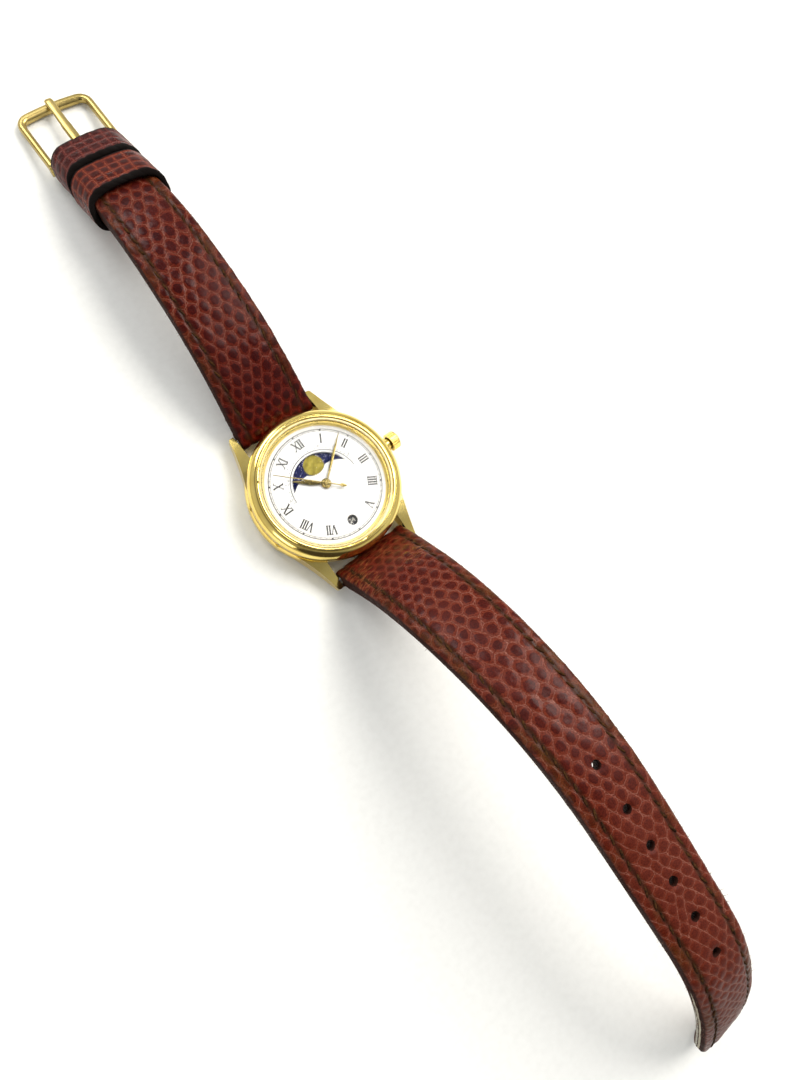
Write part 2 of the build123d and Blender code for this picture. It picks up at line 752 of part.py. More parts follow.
def date_ring():
    outer = date_ring_outer_diameter / 2
    inner = date_ring_inner_diameter / 2
    tooth_outer = date_ring_seat_diameter / 2 - running_gap
    body = ring(outer, inner, disc_bottom, disc_top) + ring(tooth_outer, inner, calendar_level(3), disc_bottom)
    for tooth in range(date_teeth):
        angle = tooth * 360 / date_teeth
        shape = block((inner - date_tooth_depth, -date_tooth_depth, calendar_level(3)),
                      (inner + date_tooth_depth, date_tooth_depth, disc_bottom))
        body += Rot(0, 0, angle) * shape
    return body


def date_ring_keeper():
    ring_outer = date_ring_outer_diameter / 2
    wall = ring(plate_diameter / 2, ring_outer + running_gap, plate_top, dial_bottom)
    lip = ring(ring_outer + running_gap, ring_outer - keeper_lip, disc_top + fit_gap, dial_bottom)
    body = wall + lip
    for angle in dial_foot_angles:
        foot = polar(dial_foot_circle_radius, angle)
        body -= rod(dial_foot_radius + fit_gap, 0, dial_bottom + cut_overrun, foot)
    return body


# Dial with its moon aperture, date window and two feet
def moon_aperture():
    tip = aperture_tip_x, aperture_tip_y
    hump = aperture_hump_x, aperture_hump_y
    notch = aperture_notch_x, aperture_notch_y
    outer = ThreePointArc((-tip[0], tip[1]), (0, aperture_outer_radius), tip)
    right = ThreePointArc(tip, hump, notch)
    bottom = ThreePointArc(notch, (0, aperture_bottom_y), (-notch[0], notch[1]))
    left = ThreePointArc((-notch[0], notch[1]), (-hump[0], hump[1]), (-tip[0], tip[1]))
    return make_face([outer, right, bottom, left])


def dial():
    body = rod(dial_diameter / 2, dial_bottom, dial_top)
    body -= rod(hour_tube_radius + running_gap * 3, 0, crystal_seat)
    body -= rod(date_window_radius, 0, crystal_seat, (0, date_window_y))
    body -= Pos(0, 0, dial_bottom - cut_overrun) * extrude(moon_aperture(), dial_thickness + 2 * cut_overrun)
    foot_end = plate_bottom + plate_thickness / 2
    for angle in dial_foot_angles:
        body += rod(dial_foot_radius, foot_end, dial_bottom, polar(dial_foot_circle_radius, angle))
    return body


# Hands
def tapered_hand(length, width, hub_radius, bore_radius, bottom, thickness, angle):
    """A slim leaf on a round hub, turned clockwise from 12 o'clock."""
    neck = width / 3
    leaf = Polyline((-neck, 0), (-neck, length / 4), (-width / 2, length / 2), (-neck / 3, length),
                    (neck / 3, length), (width / 2, length / 2), (neck, length / 4), (neck, 0), close=True)
    body = extrude(make_face(leaf), thickness) + rod(hub_radius, 0, thickness)
    body -= rod(bore_radius, -cut_overrun, cut_overrun)
    return Pos(0, 0, bottom) * Rot(0, 0, -angle) * body


def hour_hand():
    return tapered_hand(hour_hand_length, hour_hand_width, hour_hub_radius, hour_tube_radius,
                        hour_hand_bottom, hour_hand_thickness, hour_hand_angle)


def minute_hand():
    return tapered_hand(minute_hand_length, minute_hand_width, minute_hub_radius, cannon_radius,
                        minute_hand_bottom, minute_hand_thickness, minute_hand_angle)


def second_hand():
    half = second_hand_width / 2
    needle = block((-half, -second_hand_tail, 0), (half, second_hand_length, second_hand_thickness))
    body = needle + rod(second_hub_radius, 0, second_hand_thickness)
    body += rod(second_tail_radius, 0, second_hand_thickness, (0, second_tail_radius - second_hand_tail))
    body -= rod(arbor_radius, -cut_overrun, cut_overrun)
    return Pos(0, 0, second_hand_bottom) * Rot(0, 0, -second_hand_angle) * body


# Motor and electronics
def stator():
    bottom = train_level(2)
    top = bottom + stator_thickness
    low_y = rotor_place[1] - stator_width / 2
    body = block((stator_left_x, low_y, bottom), (stator_right_x, low_y + stator_width, top))
    for leg_x in (stator_left_x, stator_right_x - stator_leg_width):
        body += block((leg_x, coil_y - coil_core_width / 2, bottom), (leg_x + stator_leg_width, low_y, top))
    return body - rod(stator_hole_radius, 0, dial_bottom, rotor_place)


def coil_core():
    top = train_level(2)
    bottom = top - coil_core_thickness
    half = coil_core_width / 2
    return block((stator_left_x, coil_y - half, bottom), (stator_right_x, coil_y + half, top))


def coil_winding():
    middle_x = (stator_left_x + stator_right_x) / 2
    middle_z = train_level(2) - coil_core_thickness / 2
    sleeve = Box(coil_winding_length, coil_winding_width, coil_winding_height)
    sleeve = fillet(sleeve.edges().filter_by(Axis.X), coil_winding_height / 3)
    return Pos(middle_x, coil_y, middle_z) * sleeve - coil_core()


def battery():
    radius = battery_diameter / 2
    bottom = case_back_thickness + battery_lift
    cup = rod(radius, bottom, bottom + battery_thickness - battery_rim, (battery_x, battery_y))
    cap = rod(radius - battery_rim, bottom + battery_thickness - battery_rim, bottom + battery_thickness,
              (battery_x, battery_y))
    return cup + cap


def battery_clip():
    top = case_back_thickness + battery_lift - fit_gap
    bottom = top - clip_thickness
    reach = battery_diameter / 2 + fit_gap
    left, right = battery_x - clip_width / 2, battery_x + clip_width / 2
    strip = block((left, battery_y - reach, bottom), (right, battery_y + reach, top))
    for side in (-1, 1):
        near, far = sorted((battery_y + side * reach, battery_y + side * (reach + clip_thickness)))
        strip += block((left, near, bottom), (right, far, plate_bottom))
    return strip


def circuit_board():
    top = plate_bottom - board_gap
    bottom = top - board_thickness
    outer = plate_diameter / 2 - back_rim_width
    body = rod(outer, bottom, top)
    keep = block((quartz_x - quartz_diameter * 0.75, sliding_pinion_radius + board_thickness, bottom),
                 (plate_diameter, quartz_y + quartz_length / 2, top))
    return body & keep


def quartz_can():
    radius = quartz_diameter / 2
    body = Cylinder(radius, quartz_length)
    middle_z = plate_bottom - board_gap - board_thickness - radius
    return Pos(quartz_x, quartz_y, middle_z) * Rot(90, 0, 0) * body


def chip():
    half = chip_size / 2
    top = plate_bottom - board_gap - board_thickness
    return block((chip_x - half, chip_y - half, top - chip_thickness), (chip_x + half, chip_y + half, top))


# Spring bars: a tube and two pins, whose tips sit in holes and slide in by the pin travel
def bar_tube(half_length, radius, bore):
    return ring(radius, bore, -half_length, half_length)


def bar_pin(inner, shoulder, tip, body_radius, tip_radius):
    return rod(body_radius, inner, shoulder) + rod(tip_radius, shoulder, tip)


def lug_bar_pieces(side_y):
    """The tube and the two pins of a lug spring bar: tube, left pin, right pin."""
    half = lug_gap / 2 - bar_end_gap
    tube = along_x(bar_tube(half, bar_tube_radius, bar_tube_bore_radius), 0, side_y * bar_y, bar_z)
    shoulder = lug_gap / 2 - running_gap * 2
    tip = lug_gap / 2 + pin_tip_reach
    pin = bar_pin(shoulder - pin_body_length, shoulder, tip, pin_body_radius, pin_tip_radius)
    right = along_x(pin, 0, side_y * bar_y, bar_z)
    return tube, mirror(right, Plane.YZ), right


# Strap halves
class StrapHalf:
    """The middle line of one strap half, from its spring bar to its end.

    side is -1 towards 6 o'clock and +1 towards 12 o'clock. Slopes and headings are degrees at
    equal shares of the length. The half is then turned about its bar until its end is end_height
    above the table.
    """

    steps = 240

    def __init__(self, side, length, slopes, headings, end_height):
        self.side, self.length, self.slopes, self.headings = side, length, slopes, headings
        self.turn = 0.0
        rise, run = self.offset(length)[2], hypot(*self.offset(length)[:2])
        reach = hypot(rise, run)
        self.turn = degrees(asin((end_height - bar_z) / reach) - atan2(rise, run))

    def at(self, table, distance):
        share = min(max(distance / self.length, 0), 1) * (len(table) - 1)
        start = min(int(share), len(table) - 2)
        return table[start] + (table[start + 1] - table[start]) * (share - start)

    def direction(self, distance):
        slope = radians(self.at(self.slopes, distance) + self.turn)
        heading = radians(self.at(self.headings, distance))
        return Vector(sin(heading) * cos(slope), self.side * cos(heading) * cos(slope), sin(slope))

    def offset(self, distance):
        step = distance / self.steps
        total = Vector(0, 0, 0)
        for number in range(self.steps):
            total += self.direction((number + 0.5) * step) * step
        return total.X, total.Y, total.Z

    def point(self, distance):
        x, y, z = self.offset(distance)
        return Vector(x, self.side * bar_y + y, bar_z + z)

    def plane(self, distance):
        """A plane across the strap: its x along the width, its y out of the upper side."""
        forward = self.direction(distance)
        flat = hypot(forward.X, forward.Y)
        across = Vector(-forward.Y / flat, forward.X / flat, 0)
        return Plane(origin=self.point(distance), x_dir=across, z_dir=forward)


def layered_strap(half, stations, width_at, edge_at, crown_at, core_range):
    """Upper leather, padded core and lining of one strap half, as three solids that touch."""
    upper, lining, core = [], [], []
    core_stations = [s for s in stations if core_range[0] <= s <= core_range[1]]
    for distance in stations:
        plane = half.plane(distance)
        wide, edge, rise = width_at(distance) / 2, edge_at(distance), crown_at(distance)
        seam = lining_thickness - edge
        top = [(u * wide, edge + v * rise) for u, v in crown_shares]
        foot = [(-wide, -edge), (-wide, seam), (wide, seam), (wide, -edge)]
        upper.append(plane * make_face(Polyline((-wide, seam), *top, (wide, seam), close=True)))
        lining.append(plane * make_face(Polyline(*foot, close=True)))
        if distance in core_stations:
            inset = wide * core_width_share
            tall = edge + rise - seam - lining_thickness
            if distance in (core_stations[0], core_stations[-1]):
                tall *= core_end_share
            bulge = [(u * inset, seam + v * tall) for u, v in crown_shares]
            core.append(plane * make_face(Polyline(*bulge, close=True)))
    core_solid = loft(core, ruled=True)
    return loft(upper, ruled=True) - core_solid, core_solid, loft(lining, ruled=True)


def width_rod(half, distance, radius, width):
    """A cylinder across the strap, about its middle line."""
    plane = half.plane(distance)
    return Plane(origin=plane.origin, x_dir=plane.y_dir, z_dir=plane.x_dir) * Cylinder(radius, width)


def ease(value, start, end, low, high):
    """A value that goes from low to high between two distances."""
    share = min(max((value - start) / (end - start), 0), 1)
    return low + (high - low) * share


tail = StrapHalf(-1, tail_length, tail_slopes, tail_headings, tail_end_half * cos(radians(tail_slopes[-1])))
buckle_half = StrapHalf(1, buckle_half_length, buckle_half_slopes, buckle_half_headings, buckle_bar_height)


def tail_width(distance):
    full = ease(distance, 0, tail_length, strap_width, tail_end_width)
    past = (distance - (tail_length - tail_tip_length)) / tail_tip_length
    return full * sqrt(1 - max(past, 0) ** 2 * tail_tip_round_share)


def tail_pieces():
    straight = [tail_length * k / tail_stations for k in range(tail_stations)]
    stations = [s for s in straight if s < tail_length - tail_tip_length]
    stations += [tail_length - tail_tip_length * (1 - share) for share in tail_tip_shares]
    core_range = core_start, tail_length - core_end_gap
    thin_from = tail_length - 2 * tail_tip_length

    def edge(distance):
        thinning = ease(distance, tail_length / 2, tail_length, 0, tail_edge_half - tail_end_half)
        return ease(distance, 0, thin_start_length, strap_start_half_thickness, tail_edge_half) - thinning

    def rise(distance):
        start = ease(distance, 0, thin_start_length, flat_start_share, 1)
        return tail_crown * start * ease(distance, thin_from, tail_length, 1, flat_end_share)

    upper, core, lining = layered_strap(tail, stations, tail_width, edge, rise, core_range)
    sleeve = along_x(rod(strap_sleeve_radius, -strap_width / 2, strap_width / 2), 0, -bar_y, bar_z)
    bore = along_x(rod(strap_sleeve_bore_radius, -strap_width, strap_width), 0, -bar_y, bar_z)
    places = [tail_first_hole] + [tail_second_hole + k * tail_hole_pitch for k in range(tail_holes - 1)]
    holes = []
    for place in places:
        plane = tail.plane(place)
        punch = Plane(origin=plane.origin, x_dir=plane.x_dir, z_dir=plane.y_dir)
        holes.append(punch * Cylinder(tail_hole_radius, strap_sleeve_radius * 4))
    upper = upper + sleeve - bore
    core = core - sleeve
    lining = lining - sleeve
    for hole in holes:
        upper -= hole
        core -= hole
        lining -= hole
    return upper, core, lining


def buckle_half_pieces():
    stations = [buckle_half_length * k / buckle_half_stations for k in range(buckle_half_stations + 1)]
    core_range = core_start, buckle_half_length - core_end_gap
    thin_from = buckle_half_length - buckle_thinning_length

    def width(distance):
        return ease(distance, 0, buckle_half_length, strap_width, buckle_end_width)

    def edge(distance):
        return ease(distance, 0, thin_start_length, strap_start_half_thickness, buckle_edge_half)

    def rise(distance):
        start = ease(distance, 0, thin_start_length, flat_start_share, 1)
        return buckle_crown * start * ease(distance, thin_from, buckle_half_length, 1, flat_end_share)

    upper, core, lining = layered_strap(buckle_half, stations, width, edge, rise, core_range)
    sleeve = along_x(rod(strap_sleeve_radius, -strap_width / 2, strap_width / 2), 0, bar_y, bar_z)
    bore = along_x(rod(strap_sleeve_bore_radius, -strap_width, strap_width), 0, bar_y, bar_z)
    end_sleeve = width_rod(buckle_half, buckle_half_length, buckle_sleeve_radius, buckle_end_width)
    end_bore = width_rod(buckle_half, buckle_half_length, buckle_sleeve_bore_radius, strap_width * 2)
    slot_plane = buckle_half.plane(buckle_half_length)
    slot_wide = tongue_width + 2 * tongue_slot_gap
    slot = slot_plane * Box(slot_wide, strap_sleeve_radius * 4, 2 * tongue_slot_reach)
    upper = upper + sleeve + end_sleeve - bore - end_bore - slot
    core = core - sleeve
    lining = lining - sleeve - end_sleeve - slot
    return upper, core, lining


# Loops: leather bands round the strap, leaning towards the buckle
def leather_loop(half, front, length, under_gap):
    """A loop whose top edge starts at the front distance and runs back by its length."""
    lean = tan(radians(loop_lean))
    inner_wide = width_at_loops + 2 * loop_side_gap
    inner_low = -buckle_edge_half - under_gap
    inner_high = inner_low + loop_room
    plane = half.plane(front - length / 2 - (inner_high + loop_leather) * lean)
    up = (plane.y_dir + plane.z_dir * lean).normalized()
    scale = sqrt(1 + lean ** 2)
    start = plane.origin - plane.z_dir * length / 2
    leaning = Plane(origin=start, x_dir=plane.x_dir, z_dir=plane.x_dir.cross(up))
    tall = (inner_high - inner_low) * scale
    centre = (inner_high + inner_low) / 2 * scale
    wall = loop_leather * scale
    outside = Pos(0, centre) * RectangleRounded(inner_wide + 2 * loop_leather, tall + 2 * wall,
                                                loop_outer_corner_radius)
    inside = Pos(0, centre) * RectangleRounded(inner_wide, tall, loop_inner_corner_radius)
    return extrude(leaning * (outside - inside), length, dir=plane.z_dir)


width_at_loops = strap_width + (buckle_end_width - strap_width) * loop_place_share
fixed_front = buckle_half_length + fixed_loop_front
free_front = fixed_front - fixed_loop_length - loop_spacing


def fixed_loop():
    return leather_loop(buckle_half, fixed_front, fixed_loop_length, fixed_loop_gap)


def free_loop():
    return leather_loop(buckle_half, free_front, free_loop_length, free_loop_gap)


# Buckle: the frame in its own plane, whose y runs from the pivot to the front bar
def buckle_plane():
    pivot = buckle_half.point(buckle_half_length)
    drop = asin((pivot.Z - buckle_thickness / 2) / (buckle_reach + buckle_front_width / 2))
    heading = radians(buckle_half_headings[-1])
    across = Vector(cos(heading), -sin(heading), 0)
    forward = Vector(sin(heading) * cos(drop), cos(heading) * cos(drop), -sin(drop))
    return Plane(origin=pivot, x_dir=across, z_dir=across.cross(forward))


def buckle_frame():
    wide = buckle_outer_width / 2
    front = buckle_reach + buckle_front_width / 2
    corner_y = front - buckle_corner_radius
    bow = buckle_bow
    rounding = buckle_corner_radius * round_corner_share
    shoulder = wide - buckle_corner_radius, front - bow / 2
    bend = wide - rounding, front - bow - rounding
    left_shoulder, left_bend = (-shoulder[0], shoulder[1]), (-bend[0], bend[1])
    left_corner, corner = (-wide, corner_y), (wide, corner_y)
    outer = [Line((-wide, 0), left_corner), ThreePointArc(left_corner, left_bend, left_shoulder),
             ThreePointArc(left_shoulder, (0, front), shoulder), ThreePointArc(shoulder, bend, corner),
             Line(corner, (wide, 0)), Line((wide, 0), (-wide, 0))]
    inner_wide = wide - buckle_arm_width
    inner_front = front - buckle_front_width
    window = RectangleRounded(2 * inner_wide, inner_front + buckle_reach, buckle_inner_corner_radius)
    opening = Pos(0, (inner_front - buckle_reach) / 2) * window
    body = extrude(make_face(outer) - opening, buckle_thickness / 2, both=True)
    eye = Rot(0, 90, 0) * Cylinder(buckle_eye_radius, buckle_arm_width)
    for side in (-1, 1):
        body += Pos(side * (wide - buckle_arm_width / 2), 0, 0) * eye
    body -= Rot(0, 90, 0) * Cylinder(buckle_pin_hole_radius, 4 * wide)
    return buckle_plane() * body


def buckle_tongue():
    bar_top = buckle_thickness / 2 + running_gap
    eye = buckle_tube_radius + running_gap
    outer = eye + tongue_eye_wall
    reach = buckle_reach + buckle_front_width / 2 - tongue_front_gap
    tip = reach + tongue_tip_drop
    upper = [(buckle_reach * along, bar_top + tongue_thickness * high) for along, high, low in tongue_shares]
    lower = [(buckle_reach * along, bar_top + tongue_thickness * low) for along, high, low in tongue_shares]
    tip_top = bar_top + tongue_thickness * tongue_tip_share
    hook = [(reach, tip_top), (tip, bar_top + tongue_tip_drop), (tip, bar_top)]
    profile = Polyline((0, outer), *upper, *hook, *reversed(lower), (0, -eye / 2), close=True)
    blade = extrude(Plane.YZ * make_face(profile), tongue_width / 2, both=True)
    ring_shape = Rot(0, 90, 0) * Cylinder(outer, tongue_width)
    bore = Rot(0, 90, 0) * Cylinder(eye, tongue_width * 2)
    return buckle_plane() * (blade + ring_shape - bore)


def buckle_bar_pieces():
    """The tube and the two pins of the buckle's spring bar: tube, left pin, right pin."""
    inner_face = buckle_outer_width / 2 - buckle_arm_width
    half = buckle_end_width / 2
    tube = Rot(0, 90, 0) * bar_tube(half, buckle_tube_radius, buckle_tube_bore_radius)
    shoulder = inner_face - running_gap
    pin = bar_pin(shoulder - pin_body_length, shoulder, buckle_outer_width / 2 - running_gap,
                  buckle_pin_body_radius, buckle_pin_tip_radius)
    right = Rot(0, 90, 0) * pin
    left = Rot(0, -90, 0) * pin
    plane = buckle_plane()
    return plane * tube, plane * left, plane * right


# Every piece is saved under its own name
os.makedirs("parts", exist_ok=True)
case_pieces = (case_back, case_back_gasket, middle_case, bezel, crystal, crystal_gasket,
               crown, crown_tube, crown_gasket, winding_stem, sliding_pinion, setting_lever)
movement_pieces = (movement_holder, main_plate, train_bridge, bridge_screws, rotor, fifth_wheel, fourth_wheel,
                   third_wheel, centre_wheel, cannon_pinion, minute_wheel, hour_wheel, date_driving_wheel,
                   stator, coil_core, coil_winding, battery, battery_clip, circuit_board, quartz_can, chip)
dial_pieces = (moon_disc, date_ring, date_ring_keeper, dial, hour_hand, minute_hand, second_hand)
strap_pieces = (fixed_loop, free_loop, buckle_frame, buckle_tongue)
for piece in case_pieces + movement_pieces + dial_pieces + strap_pieces:
    save(piece.__name__, piece())

strap_sets = (("tail", "upper core lining", tail_pieces()),
              ("buckle_half", "upper core lining", buckle_half_pieces()),
              ("tail_bar", "tube pin_left pin_right", lug_bar_pieces(-1)),
              ("buckle_half_bar", "tube pin_left pin_right", lug_bar_pieces(1)),
              ("buckle_bar", "tube pin_left pin_right", buckle_bar_pieces()))
for stem, endings, pieces in strap_sets:
    for ending, piece in zip(endings.split(), pieces):
        save(f"{stem}_{ending}", piece)

free_middle = free_front - free_loop_length / 2 - loop_room * tan(radians(loop_lean))
free_slide = buckle_half.point(free_middle - free_loop_travel) - buckle_half.point(free_middle)
print("third, fifth, rotor", third_place, fifth_place, rotor_place)
print("minute, date wheels", minute_place, date_place)
print("setting lever pin", lever_pin_place())
print("buckle pivot", buckle_plane().origin, "axis", buckle_plane().x_dir, "forward", buckle_plane().y_dir)
print("free loop slides along", free_slide.normalized())
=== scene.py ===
from functools import partial
from math import asin, atan2, cos, degrees, exp, hypot, pi, radians, sin, sqrt, tan
from random import Random

import bmesh
import bpy
from mathutils import Matrix, Vector, noise


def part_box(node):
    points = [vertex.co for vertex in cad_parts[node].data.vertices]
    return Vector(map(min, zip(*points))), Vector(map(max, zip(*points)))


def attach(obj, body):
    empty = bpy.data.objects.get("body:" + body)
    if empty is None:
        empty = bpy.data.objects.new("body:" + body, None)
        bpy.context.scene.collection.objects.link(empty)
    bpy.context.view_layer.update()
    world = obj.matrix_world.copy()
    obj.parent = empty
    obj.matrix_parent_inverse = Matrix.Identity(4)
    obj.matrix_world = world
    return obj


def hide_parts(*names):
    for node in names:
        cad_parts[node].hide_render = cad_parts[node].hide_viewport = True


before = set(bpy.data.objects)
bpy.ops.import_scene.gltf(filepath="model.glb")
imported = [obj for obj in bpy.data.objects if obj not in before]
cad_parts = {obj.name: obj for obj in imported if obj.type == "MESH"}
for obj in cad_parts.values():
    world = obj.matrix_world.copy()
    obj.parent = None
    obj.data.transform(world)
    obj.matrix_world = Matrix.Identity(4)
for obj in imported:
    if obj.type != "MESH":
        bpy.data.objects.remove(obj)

# The studio: the watch lies on white card, with a wide lamp to its right and weak ones behind and to
# its left. The room is pale, and its one dark corner, past 7 o'clock, gives the gold its brown
# reflections. The lens stands where the photograph was taken from, for an image of 810 x 1080.
mm = 0.001
image_height = 1080
lens_pixels = 811.16
lens_place = Vector((-35.599, -16.962, 127.353)) * mm
right_of_lens = Vector((0.76528, -0.59673, 0.24138))
down_of_lens = Vector((-0.56179, -0.80222, -0.20209))
view_line = Vector((0.31423, 0.01905, -0.94916))
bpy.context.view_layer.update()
scene = bpy.context.scene


def sheet_colour(code):
    """The linear colour of an sRGB hex value such as "c0a060"."""
    levels = [int(code[place:place + 2], 16) / 255 for place in (0, 2, 4)]
    return [c / 12.92 if c <= 0.04045 else ((c + 0.055) / 1.055) ** 2.4 for c in levels] + [1]


def plug(socket, value):
    """Links an output to a socket, or sets its own value. A node stands for its first output."""
    if isinstance(value, bpy.types.Node):
        value = value.outputs[0]
    if isinstance(value, bpy.types.NodeSocket):
        socket.id_data.links.new(value, socket)
    else:
        socket.default_value = value


def add(tree, kind, *values, stops=(), **named):
    """Adds a node. Its kind may be followed by its mode, as in "Math ADD".

    Values go to its sockets in order. Named ones go to the sockets of that name, with _ for a
    space, or to its settings where the name is in small letters. stops are a ramp's colours.
    """
    kind, _, mode = kind.partition(" ")
    node = tree.nodes.new("ShaderNode" + kind)
    if mode:
        setting = {"MapRange": "interpolation_type", "MixRGB": "blend_type"}.get(kind, "operation")
        setattr(node, setting, mode)
    for number, value in enumerate(values):
        plug(node.inputs[number], value)
    for name, value in named.items():
        if name.islower():
            setattr(node, name, value)
        else:
            plug(node.inputs[name.replace("_", " ")], value)
    for number, (place, shade) in enumerate(stops):
        points = node.color_ramp.elements
        point = points[number] if number < 2 else points.new(place)
        point.position, point.color = place, sheet_colour(shade)
    return node


def feed(node, **values):
    """Links or sets a shader's sockets, named in small letters with _ for a space."""
    sockets = {socket.name.lower().replace(" ", "_"): socket for socket in node.inputs}
    for name, value in values.items():
        plug(sockets[name], value)


def finish(name, **constants):
    """A new material. Returns it, the function that adds nodes to it, and its shader."""
    made = bpy.data.materials.new(name)
    made.use_nodes = True
    shader = made.node_tree.nodes["Principled BSDF"]
    feed(shader, **constants)
    return made, partial(add, made.node_tree), shader


def make_piece(name, shape, material, body=None, smooth=True):
    """Turns a bmesh into a piece with one material that rides on a body."""
    mesh = bpy.data.meshes.new(name)
    shape.to_mesh(mesh)
    shape.free()
    for face in mesh.polygons:
        face.use_smooth = smooth
    mesh.materials.append(material)
    piece = bpy.data.objects.new(name, mesh)
    scene.collection.objects.link(piece)
    if body:
        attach(piece, body)
    return piece


camera = bpy.data.objects.new("lens", bpy.data.cameras.new("lens"))
camera.data.sensor_width = 36
camera.data.lens = lens_pixels / image_height * camera.data.sensor_width
camera.data.clip_start = 0.005
camera.matrix_world = Matrix((right_of_lens, -down_of_lens, -view_line)).transposed().to_4x4()
camera.location = lens_place
scene.collection.objects.link(camera)
scene.camera = camera
scene.view_settings.view_transform = "Standard"

# White card: matt, with a trace of paper tooth
card_half, tooth_per_mm = 1.5, 0.9
paper, put, shader = finish("white_card", roughness=0.75)
tooth = put("TexNoise", Vector=put("TexCoord").outputs["Object"], Scale=tooth_per_mm / mm, Detail=4.0)
feed(shader, base_color=put("ValToRGB", tooth, stops=((0.3, "f6f7f3"), (0.7, "fbfcf8"))))
shape = bmesh.new()
bmesh.ops.create_grid(shape, x_segments=1, y_segments=1, size=card_half)
floor = make_piece("table_card", shape, paper)

room = bpy.data.worlds.new("pale_room")
room.use_nodes = True
scene.world = room
put = partial(add, room.node_tree)
direction = put("TexCoord").outputs["Generated"]
walls = put("ValToRGB", put("SeparateXYZ", direction).outputs["Z"],
            stops=((0.0, "cfcabc"), (1.0, "8e9094"), (0.16, "e6e3da"), (0.5, "f4f4f2"), (0.8, "e4e5e8")))
dark_corner = Vector((-0.42, -0.73, 0.54)).normalized()
nearness = put("VectorMath DOT_PRODUCT", direction, dark_corner).outputs["Value"]
dark = put("MapRange SMOOTHSTEP", nearness, 0.80, 0.93, 0.0, 0.95)
feed(room.node_tree.nodes["Background"], strength=0.8,
     color=put("MixRGB", dark, walls, sheet_colour("2e251c")))

for name, centre, size, watts, shade in (
        ("wide_lamp", (0.34, 0.06, 0.42), 0.34, 3.1, "fffaf4"),
        ("back_lamp", (-0.02, 0.42, 0.36), 0.22, 0.9, "ffffff"),
        ("left_lamp", (-0.42, -0.12, 0.30), 0.2, 0.35, "ffffff")):
    lamp = bpy.data.objects.new(name, bpy.data.lights.new(name, "AREA"))
    lamp.data.size, lamp.data.energy, lamp.data.color = size, watts, sheet_colour(shade)[:3]
    lamp.location = centre
    aim = Vector((0, -0.02, 0)) - lamp.location
    lamp.rotation_euler = aim.to_track_quat("-Z", "Y").to_euler()
    scene.collection.objects.link(lamp)


# The case: middle, bezel and crown, stamped and turned from brass, plated with yellow gold and
# polished. The plate gives sharp warm mirrors, dulled a little by handling marks.
def dress(names, material):
    """Gives CAD nodes a material through their own slots."""
    for name in names:
        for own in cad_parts[name].material_slots:
            own.material = material


def plated_gold(name, light, deep, rough, mark_size):
    """Yellow gold plate: its light and deep tone, its roughness and the size of its marks in mm."""
    made, put, shader = finish(name, metallic=1.0)
    place = put("TexCoord").outputs["Object"]
    cloud = put("TexNoise", Vector=place, Scale=0.4 / (mark_size * mm), Detail=5.0, Roughness=0.62)
    fine = put("TexNoise", Vector=place, Scale=2.6 / (mark_size * mm), Detail=3.0)
    feed(shader, base_color=put("ValToRGB", cloud, stops=((0.3, deep), (0.66, light))),
         roughness=put("MapRange", cloud, 0.3, 0.72, rough * 0.75, rough * 1.5),
         normal=put("Bump", Height=fine, Strength=0.05, Distance=0.02 * mm))
    return made


case_gold = plated_gold("polished_gold_plate", "f6de86", "dfc063", 0.1, 3.0)
dress(("middle_case", "bezel", "crown"), case_gold)

# The case back and the movement's steel: stainless, stamped and line brushed one way, so its glints
# run out in fine lines
brush_length, brush_width = 0.26, 9.0  # marks to a mm, along and across the brushing
steel, put, shader = finish("brushed_stainless_steel", metallic=1.0)
stretch = put("Mapping", Vector=put("TexCoord").outputs["Object"],
              Scale=(brush_length / mm, brush_width / mm, brush_width / mm))
grain = put("TexNoise", Vector=stretch, Scale=1.0, Detail=3.0)
feed(shader, base_color=put("ValToRGB", grain, stops=((0.3, "a9a9a6"), (0.7, "c9c9c6"))),
     roughness=put("MapRange", grain, 0.0, 1.0, 0.24, 0.42),
     normal=put("Bump", Height=grain, Strength=0.12, Distance=0.01 * mm))


# The movement: lapped brass plates and wheels, a copper winding, a magnet, a board and its chip, held
# by screws and a plastic ring. The dial hides it, and it shows only where the case is open.
def grained(name, light, deep, metal, rough, size, bump=0.15):
    """A plain finish with a mottled tone: two shades, how metallic, roughness and mark size in mm."""
    made, put, shader = finish(name, metallic=metal)
    cloud = put("TexNoise", Vector=put("TexCoord").outputs["Object"], Scale=1 / (size * mm), Detail=4.0)
    feed(shader, base_color=put("ValToRGB", cloud, stops=((0.32, deep), (0.68, light))),
         roughness=put("MapRange", cloud, 0.0, 1.0, rough * 0.8, min(rough * 1.25, 1.0)),
         normal=put("Bump", Height=cloud, Strength=bump, Distance=size * 0.05 * mm))
    return made


movement_finishes = {
    "steel": steel,
    "movement_brass": grained("lapped_brass", "d3b46a", "b9974f", 1.0, 0.3, 0.4),
    "copper": grained("enamelled_copper_wire", "c9744a", "a85a36", 1.0, 0.32, 0.15),
    "magnet": grained("sintered_magnet", "6f6f72", "55555a", 1.0, 0.45, 0.1),
    "board": grained("printed_circuit_board", "2f6a3c", "23522e", 0.0, 0.45, 0.5),
    "chip": grained("potting_resin", "1c1c1e", "101012", 0.0, 0.35, 0.4),
    "holder": grained("moulded_acetal", "dcd9cf", "cdc9bd", 0.0, 0.5, 0.8),
    "gasket": grained("nitrile_rubber", "222222", "141414", 0.0, 0.6, 0.3),
}
for name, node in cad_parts.items():
    slot_name = node.material_slots[0].material.name.split(".")[0] if node.material_slots else ""
    if slot_name in movement_finishes:
        dress((name,), movement_finishes[slot_name])
dress(("case_back",), steel)
dress(("crown_tube",), case_gold)
